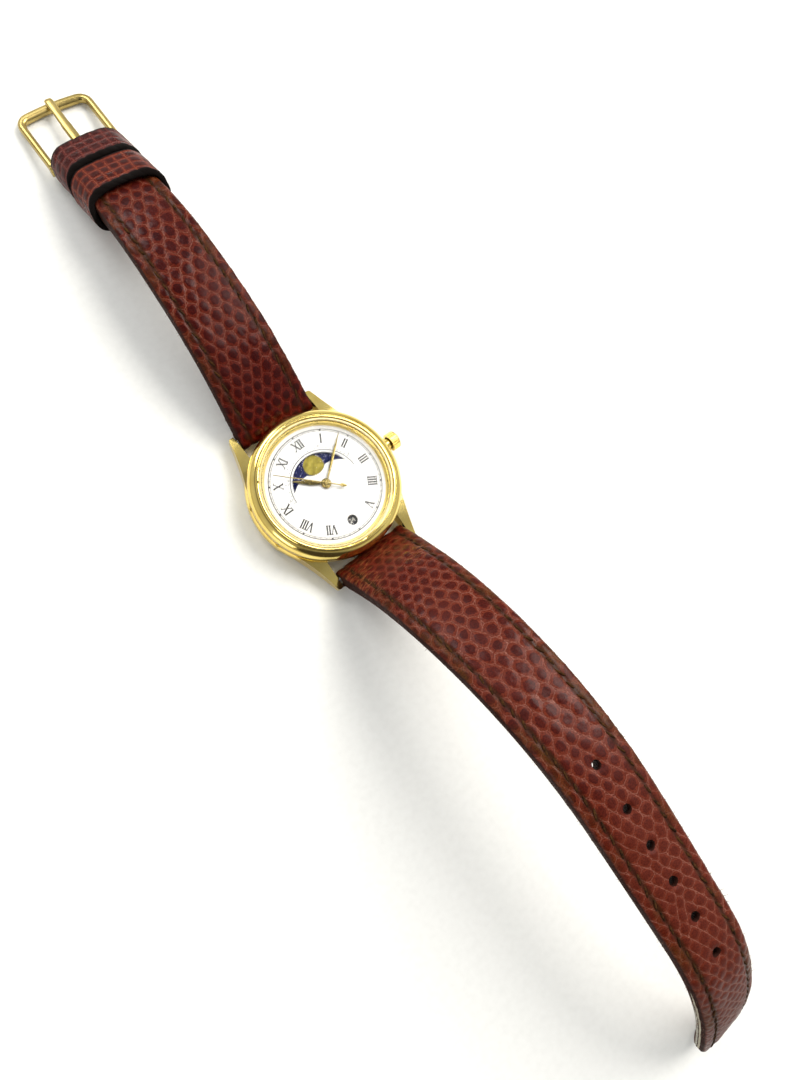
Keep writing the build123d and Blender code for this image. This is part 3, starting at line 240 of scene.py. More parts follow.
# The crystal's gasket is clear nylon. Its pale gold colour is a painted reflection: the gold that it is
# pressed into, painted on as if seen through it
dress(("crystal_gasket",), grained("clear_nylon", "f3e2ae", "e3cb88", 0.0, 0.3, 0.5, 0.05))


# The moon disc: brass, enamelled deep blue with fine light specks for stars, carrying two stamped
# gold moons. It turns under the dial and shows through the curved window.
def disc_at(shape, centre, radius, height, thickness, segments=64):
    """Adds a thin round plate whose top is at height."""
    place = Matrix.Translation(Vector((centre[0], centre[1], height - thickness / 2)) * mm)
    bmesh.ops.create_cone(shape, cap_ends=True, segments=segments, radius1=radius * mm,
                          radius2=radius * mm, depth=thickness * mm, matrix=place)


# Blue enamel: dark and softly glossy, lighter in patches, with specks a star pitch apart
star_pitch = 0.42
night, put, shader = finish("blue_enamel", roughness=0.35, specular_ior_level=0.12)
place = put("TexCoord").outputs["Object"]
cells = put("TexVoronoi", Vector=place, Scale=1 / (star_pitch * mm), Randomness=1.0)
specks = put("TexNoise", Vector=place, Scale=2.1 / (star_pitch * mm), Detail=3.0)
deep = put("ValToRGB", specks, stops=((0.34, "02041f"), (0.8, "7f88d0"), (0.5, "080e40"), (0.62, "172468")))
star = put("MapRange", cells, 0.14, 0.3, 0.9, 0.0)
feed(shader, base_color=put("MixRGB", star, deep, sheet_colour("c9c7ea")))
dress(("moon_disc",), night)

# Matt gold, with painted shade in its stamped hollows: the colour darkens where the bump sinks
hollows_per_mm = 1.1
moon_gold, put, shader = finish("stamped_moon_gold", metallic=0.55, roughness=0.42)
cloud = put("TexNoise", Vector=put("TexCoord").outputs["Object"], Scale=hollows_per_mm / mm, Detail=6.0,
            Roughness=0.65)
feed(shader, base_color=put("ValToRGB", cloud, stops=((0.3, "675b16"), (0.72, "a89b42"), (0.5, "887c28"))),
     normal=put("Bump", Height=cloud, Strength=0.35, Distance=0.03 * mm))
moon_centre, moon_radius, moon_thickness, moon_stands = (0.28, 3.55), 1.68, 0.05, 0.04
disc_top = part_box("moon_disc")[1][2] / mm
shape = bmesh.new()
for way in (1, -1):
    disc_at(shape, (way * moon_centre[0], way * moon_centre[1]), moon_radius, disc_top + moon_stands,
            moon_thickness)
moons = make_piece("gold_moons", shape, moon_gold, "moon", smooth=False)


# The date ring: brass, lacquered black, with a pale number printed for each of the 31 days. One of
# them shows through the small round window.
def flat_text(shape, words, size, place):
    """Adds letters as flat mesh, centred, in the built-in face; size in mm."""
    letters = bpy.data.curves.new("letters", "FONT")
    letters.body, letters.size, letters.resolution_u = words, size * mm, 3
    letters.align_x, letters.align_y = "CENTER", "CENTER"
    holder = bpy.data.objects.new("letters", letters)
    mesh = bpy.data.meshes.new_from_object(holder)
    mesh.transform(place)
    shape.from_mesh(mesh)
    bpy.data.objects.remove(holder)
    bpy.data.curves.remove(letters)
    bpy.data.meshes.remove(mesh)


# The lacquer is glossy with a faint mottle, and the ink matt and a little uneven
dress(("date_ring",), grained("black_lacquer", "232327", "131316", 0.0, 0.35, 0.5, 0.05))
pale_ink = grained("pale_printing_ink", "e9e6da", "dcd8ca", 0.0, 0.6, 0.2, 0.05)
date_radius, date_size, days, date_shown, ink_lift = 7.06, 1.05, 31, 24, 0.004
ring_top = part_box("date_ring")[1][2] / mm
shape = bmesh.new()
for day in range(days):
    turn = Matrix.Rotation(2 * pi * day / days, 4, "Z")
    spot = Matrix.Translation(Vector((0, -date_radius, ring_top + ink_lift)) * mm)
    flat_text(shape, str((day + date_shown - 1) % days + 1), date_size, turn @ spot)
digits = make_piece("date_digits", shape, pale_ink, "date", smooth=False)

# The dial: a brass blank under smooth white lacquer, warm in tone with a thin clear coat. It is pad
# printed in black with numerals, a minute track and, round the window, a scale of moon days.
lacquer_per_mm = 0.26
dial_white, put, shader = finish("white_dial_lacquer", roughness=0.35, coat_weight=0.2)
cloud = put("TexNoise", Vector=put("TexCoord").outputs["Object"], Scale=lacquer_per_mm / mm, Detail=4.0)
feed(shader, base_color=put("ValToRGB", cloud, stops=((0.3, "f7f6f1"), (0.7, "fcfbf8"))))
dress(("dial",), dial_white)
print_ink = grained("black_printing_ink", "191613", "0c0b09", 0.0, 0.6, 0.2, 0.05)
print_lift = 0.025
print_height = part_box("dial")[1][2] / mm + print_lift


def round_dial(turn, radius=0.0):
    """The place at a radius on the dial, turned clockwise from 12 by a share of the circle."""
    out = Matrix.Translation(Vector((0, radius, print_height)) * mm)
    return Matrix.Rotation(-2 * pi * turn, 4, "Z") @ out


def stroke(shape, place, start, end, width):
    """Adds one flat stroke between two points, in mm."""
    a, b = Vector((*start, 0)), Vector((*end, 0))
    along = b - a
    turn = Matrix.Rotation(atan2(along.y, along.x), 4, "Z")
    size = Matrix.Diagonal((along.length * mm, width * mm, 1, 1))
    bmesh.ops.create_grid(shape, x_segments=1, y_segments=1, size=0.5,
                          matrix=place @ Matrix.Translation((a + b) / 2 * mm) @ turn @ size)


thick, thin, serif = 0.22, 0.12, 0.17
letter_width = {"I": 0.4, "V": 0.95, "X": 1.0}
widest_numeral, letter_gap = 2.0, 0.1


def roman(shape, word, height, place):
    """Adds a Roman numeral of thick and thin strokes with flat serifs, centred on its place."""
    total = sum(letter_width[letter] for letter in word)
    narrow = min(1, widest_numeral / total)
    x = -total * narrow / 2
    for letter in word:
        wide = letter_width[letter] * narrow
        middle, half, up = x + wide / 2, wide / 2 - letter_gap * narrow, height / 2
        left, right = middle - half, middle + half
        strokes, ends = {
            "I": ([(middle, -up, middle, up)], [(middle, -1), (middle, 1)]),
            "V": ([(left, up, middle, -up), (right, up, middle, -up)], [(left, 1), (right, 1)]),
            "X": ([(left, up, right, -up), (right, up, left, -up)],
                  [(left, 1), (right, 1), (left, -1), (right, -1)])}[letter]
        for (x0, y0, x1, y1), width in zip(strokes, (thick * narrow, thin)):
            stroke(shape, place, (x0, y0), (x1, y1), width)
        for end, side in ends:
            y = side * (up - thin / 2)
            stroke(shape, place, (end - serif * narrow, y), (end + serif * narrow, y), thin)
        x += wide


numeral_radius, numeral_height = 7.5, 1.55
shape = bmesh.new()
# The date window takes the place of VI
for hour, word in enumerate(("XII", "I", "II", "III", "IIII", "V", "", "VII", "VIII", "IX", "X", "XI")):
    if word:
        roman(shape, word, numeral_height, round_dial(hour / 12, numeral_radius))


def flat_ring(shape, radius, width, start=0.0, end=360.0, steps=180):
    """Adds a thin flat ring, or the part of it between two angles clockwise from 12."""
    count = max(int(steps * (end - start) / 360), 2)
    rim = bmesh.ops.create_grid(shape, x_segments=count, y_segments=1, size=0.5)["verts"]
    for vertex in rim:
        angle = radians(start + (vertex.co.x + 0.5) * (end - start))
        out = radius + vertex.co.y * width
        vertex.co = Vector((sin(angle) * out, cos(angle) * out, print_height)) * mm
    bmesh.ops.reverse_faces(shape, faces=list({face for vertex in rim for face in vertex.link_faces}))


track_inner, track_outer, five_wide, minute_wide = 8.74, 9.02, 0.24, 0.055
inner_line, outer_line = 0.06, 0.12
for radius, line in ((track_inner, inner_line), (track_outer, outer_line)):
    flat_ring(shape, radius, line)
for minute in range(60):
    stroke(shape, round_dial(minute / 60), (0, track_inner), (0, track_outer),
           five_wide if minute % 5 == 0 else minute_wide)

# The moon days: a mark for each, an arc inside them and a number beside some
moon_scale_radius, scale_reach, moon_days, mark_share, fine_steps = 5.93, 89.0, 30, 0.31, 240
mark_wide, arc_wide, arc_inside = 0.1, 0.12, 0.3
day_angle = 2 * scale_reach / moon_days
for day in range(moon_days):
    start = -scale_reach + day * day_angle
    flat_ring(shape, moon_scale_radius, mark_wide, start, start + day_angle * mark_share, fine_steps)
flat_ring(shape, moon_scale_radius - arc_inside, arc_wide, -scale_reach, scale_reach, fine_steps)
number_size, number_out, number_past = 0.46, 0.36, 6
for day, words in ((0, "29"), (4, "3"), (8, "7"), (12, "11"), (18, "18"), (22, "22"), (26, "26")):
    turn = (-scale_reach + day * day_angle + number_past) / 360
    flat_text(shape, words, number_size, round_dial(turn, moon_scale_radius + number_out))
printing = make_piece("dial_printing", shape, print_ink, "case", smooth=False)

# The hands: gold plated brass, stamped thin with a ridge along the middle, each pressed on its own
# arbor by a round boss. Their plate is rougher than the case's, so they look darker against the dial.
hand_gold = plated_gold("bright_hand_gold", "a59560", "70633a", 0.25, 0.8)


def lofted(sections, places=None, marks=None):
    """A closed skin through rings of points in mm, all with the same count, and flat at both ends.

    places gives each point its place in the pattern, and marks its colour for each mark's name.
    """
    columns, rows = len(sections[0]), len(sections)
    shape = bmesh.new()
    bmesh.ops.create_grid(shape, x_segments=columns, y_segments=rows - 1, size=1)
    shape.verts.ensure_lookup_table()
    layers = {name: shape.verts.layers.float_color.new(name) for name in (marks[0][0] if marks else ())}
    pattern = shape.loops.layers.uv.new("pattern") if places else None
    for number, vertex in enumerate(shape.verts):
        row, column = divmod(number, columns + 1)
        column %= columns
        vertex.co = Vector(sections[row][column]) * mm
        for name, layer in layers.items():
            vertex[layer] = marks[row][column][name]
        for corner in vertex.link_loops if places else ():
            corner[pattern].uv = places[row][column]
    bmesh.ops.remove_doubles(shape, verts=shape.verts, dist=1e-4 * mm)
    open_edges = [edge for edge in shape.edges if edge.is_boundary]
    if open_edges:
        bmesh.ops.holes_fill(shape, edges=open_edges, sides=0)
    bmesh.ops.recalc_face_normals(shape, faces=shape.faces)
    return shape


def join(shape, part):
    """Adds a finished part to a shape."""
    mesh = bpy.data.meshes.new("part")
    part.to_mesh(mesh)
    part.free()
    shape.from_mesh(mesh)
    bpy.data.meshes.remove(mesh)


def hand_blade(shape, angle, low, high, stations, ridge):
    """Adds a ridged blade: stations are (distance from the centre, half width) in mm."""
    blade = lofted([[(-half, distance, low), (-half, distance, high), (0, distance, high + ridge),
                     (half, distance, high), (half, distance, low)] for distance, half in stations])
    bmesh.ops.rotate(blade, verts=blade.verts, cent=(0, 0, 0),
                     matrix=Matrix.Rotation(-radians(angle), 3, "Z"))
    join(shape, blade)


def boss(shape, outer, inner, low, high):
    """Adds a ring with a rounded top round the hands' centre."""
    middle, wall = (outer + inner) / 2, (outer - inner) / 2
    shoulder, crest = high - wall * 0.5, wall * 0.6
    ring = bmesh.new()
    outline = [ring.verts.new(Vector((x, 0, z)) * mm) for x, z in (
        (inner, low), (inner, shoulder), (middle - crest, high), (middle + crest, high),
        (outer, shoulder), (outer, low))]
    for number, vertex in enumerate(outline):
        ring.edges.new((vertex, outline[(number + 1) % len(outline)]))
    bmesh.ops.spin(ring, geom=ring.verts[:] + ring.edges[:], axis=(0, 0, 1), cent=(0, 0, 0),
                   steps=48, angle=2 * pi, use_merge=True)
    bmesh.ops.recalc_face_normals(ring, faces=ring.faces)
    join(shape, ring)


# For each hand: its angle, the boss's outer and inner radius and how far it stands up, the ridge and
# the blade's stations
hand_shapes = {
    "hour": (-53.5, 0.82, 0.42, 0.06, 0.05,
             ((0.5, 0.2), (1.2, 0.3), (2.4, 0.44), (3.4, 0.36), (4.6, 0.18), (5.35, 0.04))),
    "minute": (49.6, 0.74, 0.36, 0.03, 0.05,
               ((0.5, 0.12), (1.6, 0.15), (4.2, 0.22), (6.0, 0.16), (7.8, 0.08), (8.8, 0.03))),
    "second": (-47.8, 0.36, 0.1, 0.06, 0.015,
               ((-3.3, 0.03), (-2.95, 0.2), (-2.5, 0.32), (-2.1, 0.1), (-0.5, 0.09), (3.0, 0.085),
                (8.44, 0.06))),
}
blade_sunk, cap_radius, cap_top, cap_thickness = 0.02, 0.17, 0.1, 0.14
for name, (angle, outer, inner, boss_stands, ridge, stations) in hand_shapes.items():
    low, high = (corner[2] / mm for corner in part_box(name + "_hand"))
    shape = bmesh.new()
    hand_blade(shape, angle, low, high - blade_sunk, stations, ridge)
    boss(shape, outer, inner, low, high + boss_stands)
    if name == "second":
        disc_at(shape, (0, 0), cap_radius, high + cap_top, cap_thickness, 32)
    hand = make_piece(name + "_hand_gilt", shape, hand_gold, name, smooth=False)
    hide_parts(name + "_hand")

# The crystal: mineral glass, ground flat with a polished edge. It is nearly clear, so it lets the
# lamp through to the dial and keeps only a faint gloss.
smears_per_mm = 0.3
crystal, put, shader = finish("mineral_glass", transmission_weight=1.0, ior=1.5, alpha=0.12,
                              base_color=sheet_colour("f6fbff"))
cloud = put("TexNoise", Vector=put("TexCoord").outputs["Object"], Scale=smears_per_mm / mm, Detail=3.0)
feed(shader, roughness=put("MapRange", cloud, 0.0, 1.0, 0.01, 0.05))
dress(("crystal",), crystal)

# The strap's two halves: lizard skin, dyed red brown and glazed, glued over a padded filler and a
# calf lining, turned round the spring bars and stitched along both edges. Round dark scales sit in
# rows, with paler skin between them.
bar_y, bar_z = 13.45, 2.0
strap_width, lining_thickness, start_half, thin_start = 13.45, 0.5, 1.38, 9.6
nose_radius, bore_wall, crown_power = 1.45, 0.75, 2.8
hole_radius, seam_inset = 0.65, 1.65
never = 1000.0  # a distance past the end of either half
noise.seed_set(7)  # Blender's noise vectors start from the clock unless they are seeded


def ease(value, start, end, low, high):
    """A value that goes from low to high between two distances."""
    share = min(max((value - start) / (end - start), 0), 1)
    return low + (high - low) * share


def along_table(table, share):
    """The value at a share of a table's length, straight between its entries."""
    share = min(max(share, 0), 1) * (len(table) - 1)
    start = min(int(share), len(table) - 2)
    return table[start] + (table[start + 1] - table[start]) * (share - start)


def wander(*place):
    """Smooth noise between -1 and 1, about one swell to a unit of length."""
    return noise.noise(Vector(place))


class StrapHalf:
    """A strap half's sizes, and its middle line from its spring bar, as the cut leather lies.

    Distances run along that line. Slopes and headings are in degrees, evenly along it.
    """

    def __init__(self, **sizes):
        vars(self).update(sizes)
        self.turn = 0.0
        self.trace()
        end = self.places[-1]
        self.turn = degrees(asin((self.end_height - bar_z) / end.length) - atan2(end.z, hypot(end.x, end.y)))
        self.trace()
        self.places = [Vector((p.x, self.side * bar_y + p.y, bar_z + p.z)) for p in self.places]

    def direction(self, distance):
        share = distance / self.length
        slope = radians(along_table(self.slopes, share) + self.turn)
        heading = radians(along_table(self.headings, share))
        return Vector((sin(heading) * cos(slope), self.side * cos(heading) * cos(slope), sin(slope)))

    def trace(self):
        count = int(round(self.length / 0.1))
        self.pace = self.length / count
        self.places = [Vector((0, 0, 0))]
        for number in range(count):
            self.places.append(self.places[-1] + self.direction((number + 0.5) * self.pace) * self.pace)

    def point(self, distance):
        share = min(max(distance / self.pace, 0), len(self.places) - 1)
        start = min(int(share), len(self.places) - 2)
        return self.places[start].lerp(self.places[start + 1], share - start)

    def axes(self, distance):
        """Across, up and forward at a distance."""
        forward = self.direction(distance)
        flat = hypot(forward.x, forward.y)
        across = Vector((-forward.y / flat, forward.x / flat, 0))
        return across, forward.cross(across), forward

    def at(self, distance, x, y):
        across, up, _ = self.axes(distance)
        return self.point(distance) + across * x + up * y

    def wide(self, s):
        past = max((s - (self.length - self.tip)) / self.tip, 0)
        return ease(s, 0, self.length, strap_width, self.end_width) * sqrt(
            max(1 - past ** 2 * self.tip_round, 0.02))

    def thick(self, s):
        thinning = ease(s, self.length / 2, self.length, 0, self.edge - self.end_edge)
        return ease(s, 0, thin_start, start_half, self.edge) - thinning

    def rise(self, s):
        """How much thicker the padded middle is than the edges."""
        return self.crown * ease(s, 0, thin_start, 0.1, 1) * ease(
            s, self.length - 2 * self.tip, self.length, 1, 0.15)


def scale_place(half, x, s):
    """The scale pattern's place for a point: whole numbers are scale centres along a row and rows."""
    steps = 60
    rows = sum(half.length / steps / along_table(half.scale_along, (k + 0.5) / steps)
               for k in range(int(steps * s / half.length)))
    part = s - int(steps * s / half.length) * half.length / steps
    rows += part / along_table(half.scale_along, s / half.length)
    drift = noise.noise_vector(Vector((x * 0.09, s * 0.06, half.seed)))
    small = noise.noise_vector(Vector((x * 0.45, s * 0.45, half.seed + 9)))
    bow = 0.012 * x * x / 2.0
    place_x = x / along_table(half.scale_across, s / half.length) + 0.5 * drift.x + 0.17 * small.x
    return place_x, rows + 0.55 * drift.y + 0.17 * small.y - bow


def scale_height(u, v):
    """How domed the skin is there: 1 at a scale's centre, 0 between scales."""
    def far(value):
        return abs(value - round(value))
    first = hypot(far(u), 0.87 * 2 * far(v / 2))
    second = hypot(far(u - 0.5), 0.87 * 2 * far((v - 1) / 2))
    return max(1 - (min(first, second) / 0.5) ** 2, 0) ** 0.6


row_step, column_step, nose_step, nose_rows = 0.19, 0.19, 15, 12
edge_round, round_share, side_starts, rag = 0.45, 0.75, 0.34, 0.1
groove_wide, groove_deep, dome_high, dome_flat_at_edge = 0.34, 0.13, 0.07, 0.6
dent_deep, dent_wide, dent_reach = 0.16, 0.3, 2
margin_past_seam, burn_wide, case_shade_reach = 0.55, 0.28, 17


def half_skin(half):
    """The upper leather of a strap half as a closed skin: round the spring bar, then to its end.

    Its marks are, in the first mark: dirt, burnt edge, sway of the pattern and the stitching groove,
    where shade is painted. In tone: nearness to the case, which places painted shade and a painted
    highlight, share of the length, gloss, and bare card in the worn edge.
    """
    seed, top_columns, flat_rows = half.seed, int(strap_width / column_step), int(half.length / row_step)
    rows = [(True, radians(180 - nose_step * k)) for k in range(nose_rows)]
    rows += [(False, half.length * k / flat_rows) for k in range(flat_rows + 1)]
    sections, places, marks = [], [], []
    for on_nose, value in rows:
        s = 0.0 if on_nose else value
        reach, edge, rise = half.wide(s) / 2, half.thick(s), half.rise(s)
        across, up, forward = half.axes(s)
        middle = half.point(s)
        seam = lining_thickness - edge
        run = -value * nose_radius if on_nose else s
        on_strap = max(run, 0.0)
        # The edges are ragged, but run smooth where a loop slides on them
        ragged = [(rag * wander(side * 7.3, run * 0.9, seed) + rag * wander(side * 3.1, run * 3.7, seed))
                  * ease(run, half.looped_from - 4, half.looped_from, 1, 0.2) for side in (-1, 1)]
        profile = []
        for k in range(top_columns + 1):
            u = -1 + 2 * k / top_columns
            x = u * (reach + ragged[0 if u < 0 else 1] * abs(u) ** 8)
            rim = min(max((abs(x) - (reach - edge_round)) / edge_round, 0), 1)
            rounding = edge_round * round_share * (1 - sqrt(1 - rim ** 2))
            profile.append((x, edge + rise * (1 - abs(u) ** crown_power) - rounding, "top"))
        for k in range(1, 4):
            y = (edge - side_starts) + (seam - edge + side_starts) * k / 3
            profile.append((reach + ragged[1], y, "side"))
        profile += [(reach - reach * 2 * k / 4, seam, "under") for k in range(1, 4)]
        profile += [(-reach - ragged[0], seam + (edge - side_starts - seam) * k / 3, "side")
                    for k in range(3)]
        ring, ring_places, ring_marks = [], [], []
        for x, y, where in profile:
            on_top = where == "top"
            from_edge = reach - abs(x)
            place_u, place_v = scale_place(half, x, on_strap)
            if run < 0:
                place_v += run / half.scale_along[0]
            if not on_top:
                place_u += (1 if x > 0 else -1) * (edge - y) * 0.4
            groove = exp(-((from_edge - seam_inset) / groove_wide) ** 2)
            lift = 0.0
            if on_top:
                lift = dome_high * scale_height(place_u, place_v)
                lift *= min(max(from_edge / dome_flat_at_edge, 0), 1)
                lift -= groove_deep * groove
                lift += 0.10 * wander(x * 0.5, run * 0.35, seed + 3)
                lift += 0.03 * wander(x * 1.7, run * 1.7, seed + 5)
                for hole in half.holes:
                    gap = hypot(x, run - hole)
                    if gap < dent_reach:
                        lift -= dent_deep * exp(-(max(gap - hole_radius, 0) / dent_wide) ** 2)
            if on_nose:
                if on_top:
                    radius = nose_radius - edge_round * round_share * (edge + rise - y) + lift
                else:
                    radius = bore_wall + (nose_radius - side_starts - bore_wall) * \
                        ((y - seam) / (edge - side_starts - seam) if where == "side" else 0)
                point = middle + across * x + up * radius * cos(value) - forward * radius * sin(value)
            else:
                if not on_top and s == 0:
                    y = max(y, bore_wall)
                point = middle + across * x + up * (y + lift)
            sway = wander(x * 0.3, run * 0.16, seed + 11)
            patches = max(wander(x * 0.7, run * 0.33, seed + 17) * 1.3 + 0.35, 0)
            in_margin = min(max((seam_inset + margin_past_seam - from_edge) / 0.5, 0), 1)
            dirt = min(groove * 0.3 + in_margin * patches * 0.8, 1) if on_top else 0.2
            burnt = min(max(1 - from_edge / burn_wide, 0), 1) if on_top else 1.0
            # The card shows on one side only, as a line a third of the way up
            card = 0.0
            if where == "side" and x < 0 and abs(y - (2 * seam + edge - side_starts) / 3) <= 0.05:
                card = ease(run, half.layered_from, half.layered_from + 5, 0, 1)
            ring.append(tuple(point))
            ring_places.append((place_u, place_v))
            # The first mark's last value puts painted shade in the stitching groove; the tone mark's nearness
            # to the case places painted shade and a painted highlight
            ring_marks.append({
                "wear_and_groove_shade": (dirt, burnt, 0.5 + 0.5 * sway, groove if on_top else 0.0),
                "tone": (max(1 - on_strap / case_shade_reach, 0), on_strap / half.length,
                         0.5 + 0.5 * wander(x * 0.16, run * 0.09, seed + 23), card)})
        sections.append(ring)
        places.append(ring_places)
        marks.append(ring_marks)
    return lofted(sections, places, marks)


def glazed_lizard(name, disc_shades, ring_shades, web_shade, dirt_shade, lean, spot_fade,
                  edge_shade="2e1209", straight=False, crease_glare=0.0):
    """Glazed lizard skin: round dark scales with paler lines between them, on the pattern's UV.

    lean turns the lines to the left or right, and spot_fade is the share of the length from which
    the scales get small and faint. straight sets them in straight columns instead of half-offset
    rows. The last argument is the strength of a painted highlight: tan streaks of glare painted on
    the creases beside the case.
    """
    made, put, shader = finish(name, specular_ior_level=0.12)
    pattern = put("UVMap", uv_map="pattern")
    u, v, _ = put("SeparateXYZ", pattern).outputs
    wear_and_groove_shade, tone = (put("Attribute", attribute_name=mark) for mark in ("wear_and_groove_shade", "tone"))
    dirt, burn, sway = put("SeparateColor", wear_and_groove_shade).outputs
    near_case, share, gloss = put("SeparateColor", tone).outputs
    grain = put("TexNoise", Vector=pattern, Scale=4.2, Detail=5.0, Roughness=0.62)
    broad = put("TexNoise", Vector=pattern, Scale=0.45, Detail=3.0)
    pores = put("TexNoise", Vector=pattern, Scale=9.0, Detail=6.0, Roughness=0.7)
    centred = put("Math SUBTRACT", grain, 0.5)
    uneven = put("Math MULTIPLY", centred, 0.2)

    # far is how far a point is from its scale's centre, and web the lines between the scales
    in_column, in_row = put("Math PINGPONG", u, 0.5), put("Math PINGPONG", v, 0.5)
    slightly = put("Math MULTIPLY", uneven, 0.35)
    if straight:
        row_line = put("MapRange SMOOTHSTEP", put("Math ADD", in_row, slightly), 0.44, 0.492)
        far = put("Math POWER", put("Math ADD", put("Math POWER", in_column, 4.0),
                                    put("Math POWER", in_row, 4.0)), 0.25)
        column_line = put("MapRange SMOOTHSTEP", put("Math ADD", in_column, uneven), 0.44, 0.492)
        web = put("Math MAXIMUM", row_line, column_line)
    else:
        in_other = put("Math PINGPONG", put("Math ADD", u, 0.5), 0.5)
        squares = [put("Math ADD", put("Math POWER", column, 2.0),
                       put("Math MULTIPLY", put("Math POWER", put("Math PINGPONG", row, 1.0), 2.0), 0.76))
                   for column, row in ((in_column, v), (in_other, put("Math ADD", v, 1.0)))]
        far = put("Math SQRT", put("Math MINIMUM", *squares))
        border = put("Math ABSOLUTE", put("Math SUBTRACT", *(put("Math SQRT", each) for each in squares)))
        here = put("Math LESS_THAN", *squares)
        beside = put("Math MAXIMUM", put("Math MULTIPLY", in_column, here),
                     put("Math MULTIPLY", in_other, put("Math SUBTRACT", 1.0, here)))
        outline = put("Math MAXIMUM",
                      put("MapRange SMOOTHSTEP", put("Math ADD", border, uneven), 0.065, 0.01),
                      put("MapRange SMOOTHSTEP", put("Math ADD", beside, uneven), 0.46, 0.492))
        leaning = put("Math ADD", sway, lean)
        slants = []
        for operation, start, end in (("SUBTRACT", 0.35, 0.65), ("ADD", 0.65, 0.35)):
            gap = put("Math PINGPONG", put("Math " + operation, u, put("Math MULTIPLY", v, 0.5)), 0.5)
            line = put("MapRange SMOOTHSTEP", put("Math ADD", gap, slightly), 0.44, 0.492)
            slants.append(put("Math MULTIPLY", line, put("MapRange SMOOTHSTEP", leaning, start, end)))
        small_scales = put("MapRange SMOOTHSTEP", share, spot_fade, spot_fade + 0.2)
        long_lines = put("Math MULTIPLY", put("Math MAXIMUM", *slants),
                         put("Math MULTIPLY_ADD", small_scales, 0.4, 0.6))
        broken = put("MapRange SMOOTHSTEP", broad, 0.38, 0.58, 0.45, 0.95)
        web = put("Math MAXIMUM", put("Math MULTIPLY", outline, broken), long_lines)

    # The dyes: dark discs on the scales, redder skin round them and paler lines between
    size_sway = put("Math MULTIPLY", put("Math SUBTRACT", broad, 0.5), 0.16)
    disc = put("MapRange SMOOTHSTEP", put("Math ADD", put("Math ADD", far, uneven), size_sway),
               0.295, 0.35, 1.0, 0.0)
    fade = put("MapRange SMOOTHSTEP", share, spot_fade, spot_fade + 0.12, 1.0, 0.45)
    disc = put("Math MULTIPLY", disc, fade)
    rings = put("MixRGB", put("MapRange SMOOTHSTEP", grain, 0.35, 0.75), *map(sheet_colour, ring_shades))
    skin = put("MixRGB", disc, rings,
               put("ValToRGB", broad, stops=((0.35, disc_shades[0]), (0.65, disc_shades[1]))))
    worn_web = put("Math MULTIPLY", web, put("MapRange SMOOTHSTEP", grain, 0.3, 0.6, 0.45, 1.0))
    skin = put("MixRGB", worn_web, skin, sheet_colour(web_shade))

    # The coats, each over the last: dirt, painted shade beside the case, painted shade in the
    # stitching's groove, a painted tan highlight on the creases beside the case, the burnt edge, bare
    # card in it, and dark pores over all
    dirty = put("Math MULTIPLY", dirt, put("MapRange SMOOTHSTEP", grain, 0.3, 0.7, 0.35, 1.0))
    # Tan streaks of painted highlight: the glare on the creases beside the case
    creases = put("Mapping", Vector=pattern, Scale=(0.6, 5.5, 1.0))
    folds = put("TexNoise", Vector=creases, Scale=1.6, Detail=4.0)
    painted_crease_glare = put("Math MULTIPLY", put("MapRange SMOOTHSTEP", folds, 0.53, 0.6),
                 put("MapRange SMOOTHSTEP", near_case, 0.3, 0.6))
    painted_crease_glare = put("Math MULTIPLY", painted_crease_glare, put("MapRange SMOOTHSTEP", sway, 0.42, 0.6, 0.2 * crease_glare, crease_glare))
    burnt = put("MapRange SMOOTHSTEP", put("Math ADD", burn, uneven), 0.35, 0.9)
    bare = put("MapRange SMOOTHSTEP", put("Math ADD", tone.outputs["Alpha"], uneven), 0.35, 0.55)
    dotted = put("MapRange SMOOTHSTEP", pores, 0.58, 0.4, 0.0, 0.6)
    # d8705c is painted shade beside the case, 2c160d painted shade in the stitching groove and 925a34 a
    # painted highlight on the creases
    for mode, amount, shade in (
            ("MIX", dirty, dirt_shade), ("MULTIPLY", near_case, "d8705c"),
            ("MIX", put("Math MULTIPLY", wear_and_groove_shade.outputs["Alpha"], 0.75), "2c160d"), ("MIX", painted_crease_glare, "925a34"),
            ("MIX", burnt, edge_shade), ("MIX", bare, "b9b4a2"), ("MULTIPLY", dotted, "98827a")):
        skin = put("MixRGB " + mode, amount, skin, sheet_colour(shade))

    shine = put("MapRange SMOOTHSTEP", gloss, 0.35, 0.7, 0.48, 0.26)
    rough = put("Math ADD", shine, put("Math MULTIPLY", centred, 0.3))
    rough = put("Math ADD", rough, put("Math MULTIPLY", burn, 0.4))
    height = put("Math ADD", put("Math MULTIPLY", web, -0.5), put("Math MULTIPLY", grain, 0.55))
    dome = put("MapRange SMOOTHSTEP", far, 0.18, 0.45, 1.0, 0.0)
    height = put("Math ADD", height, put("Math MULTIPLY", dome, 0.5))
    feed(shader, base_color=skin, roughness=rough,
         normal=put("Bump", Height=height, Strength=0.55, Distance=0.05 * mm))
    return made


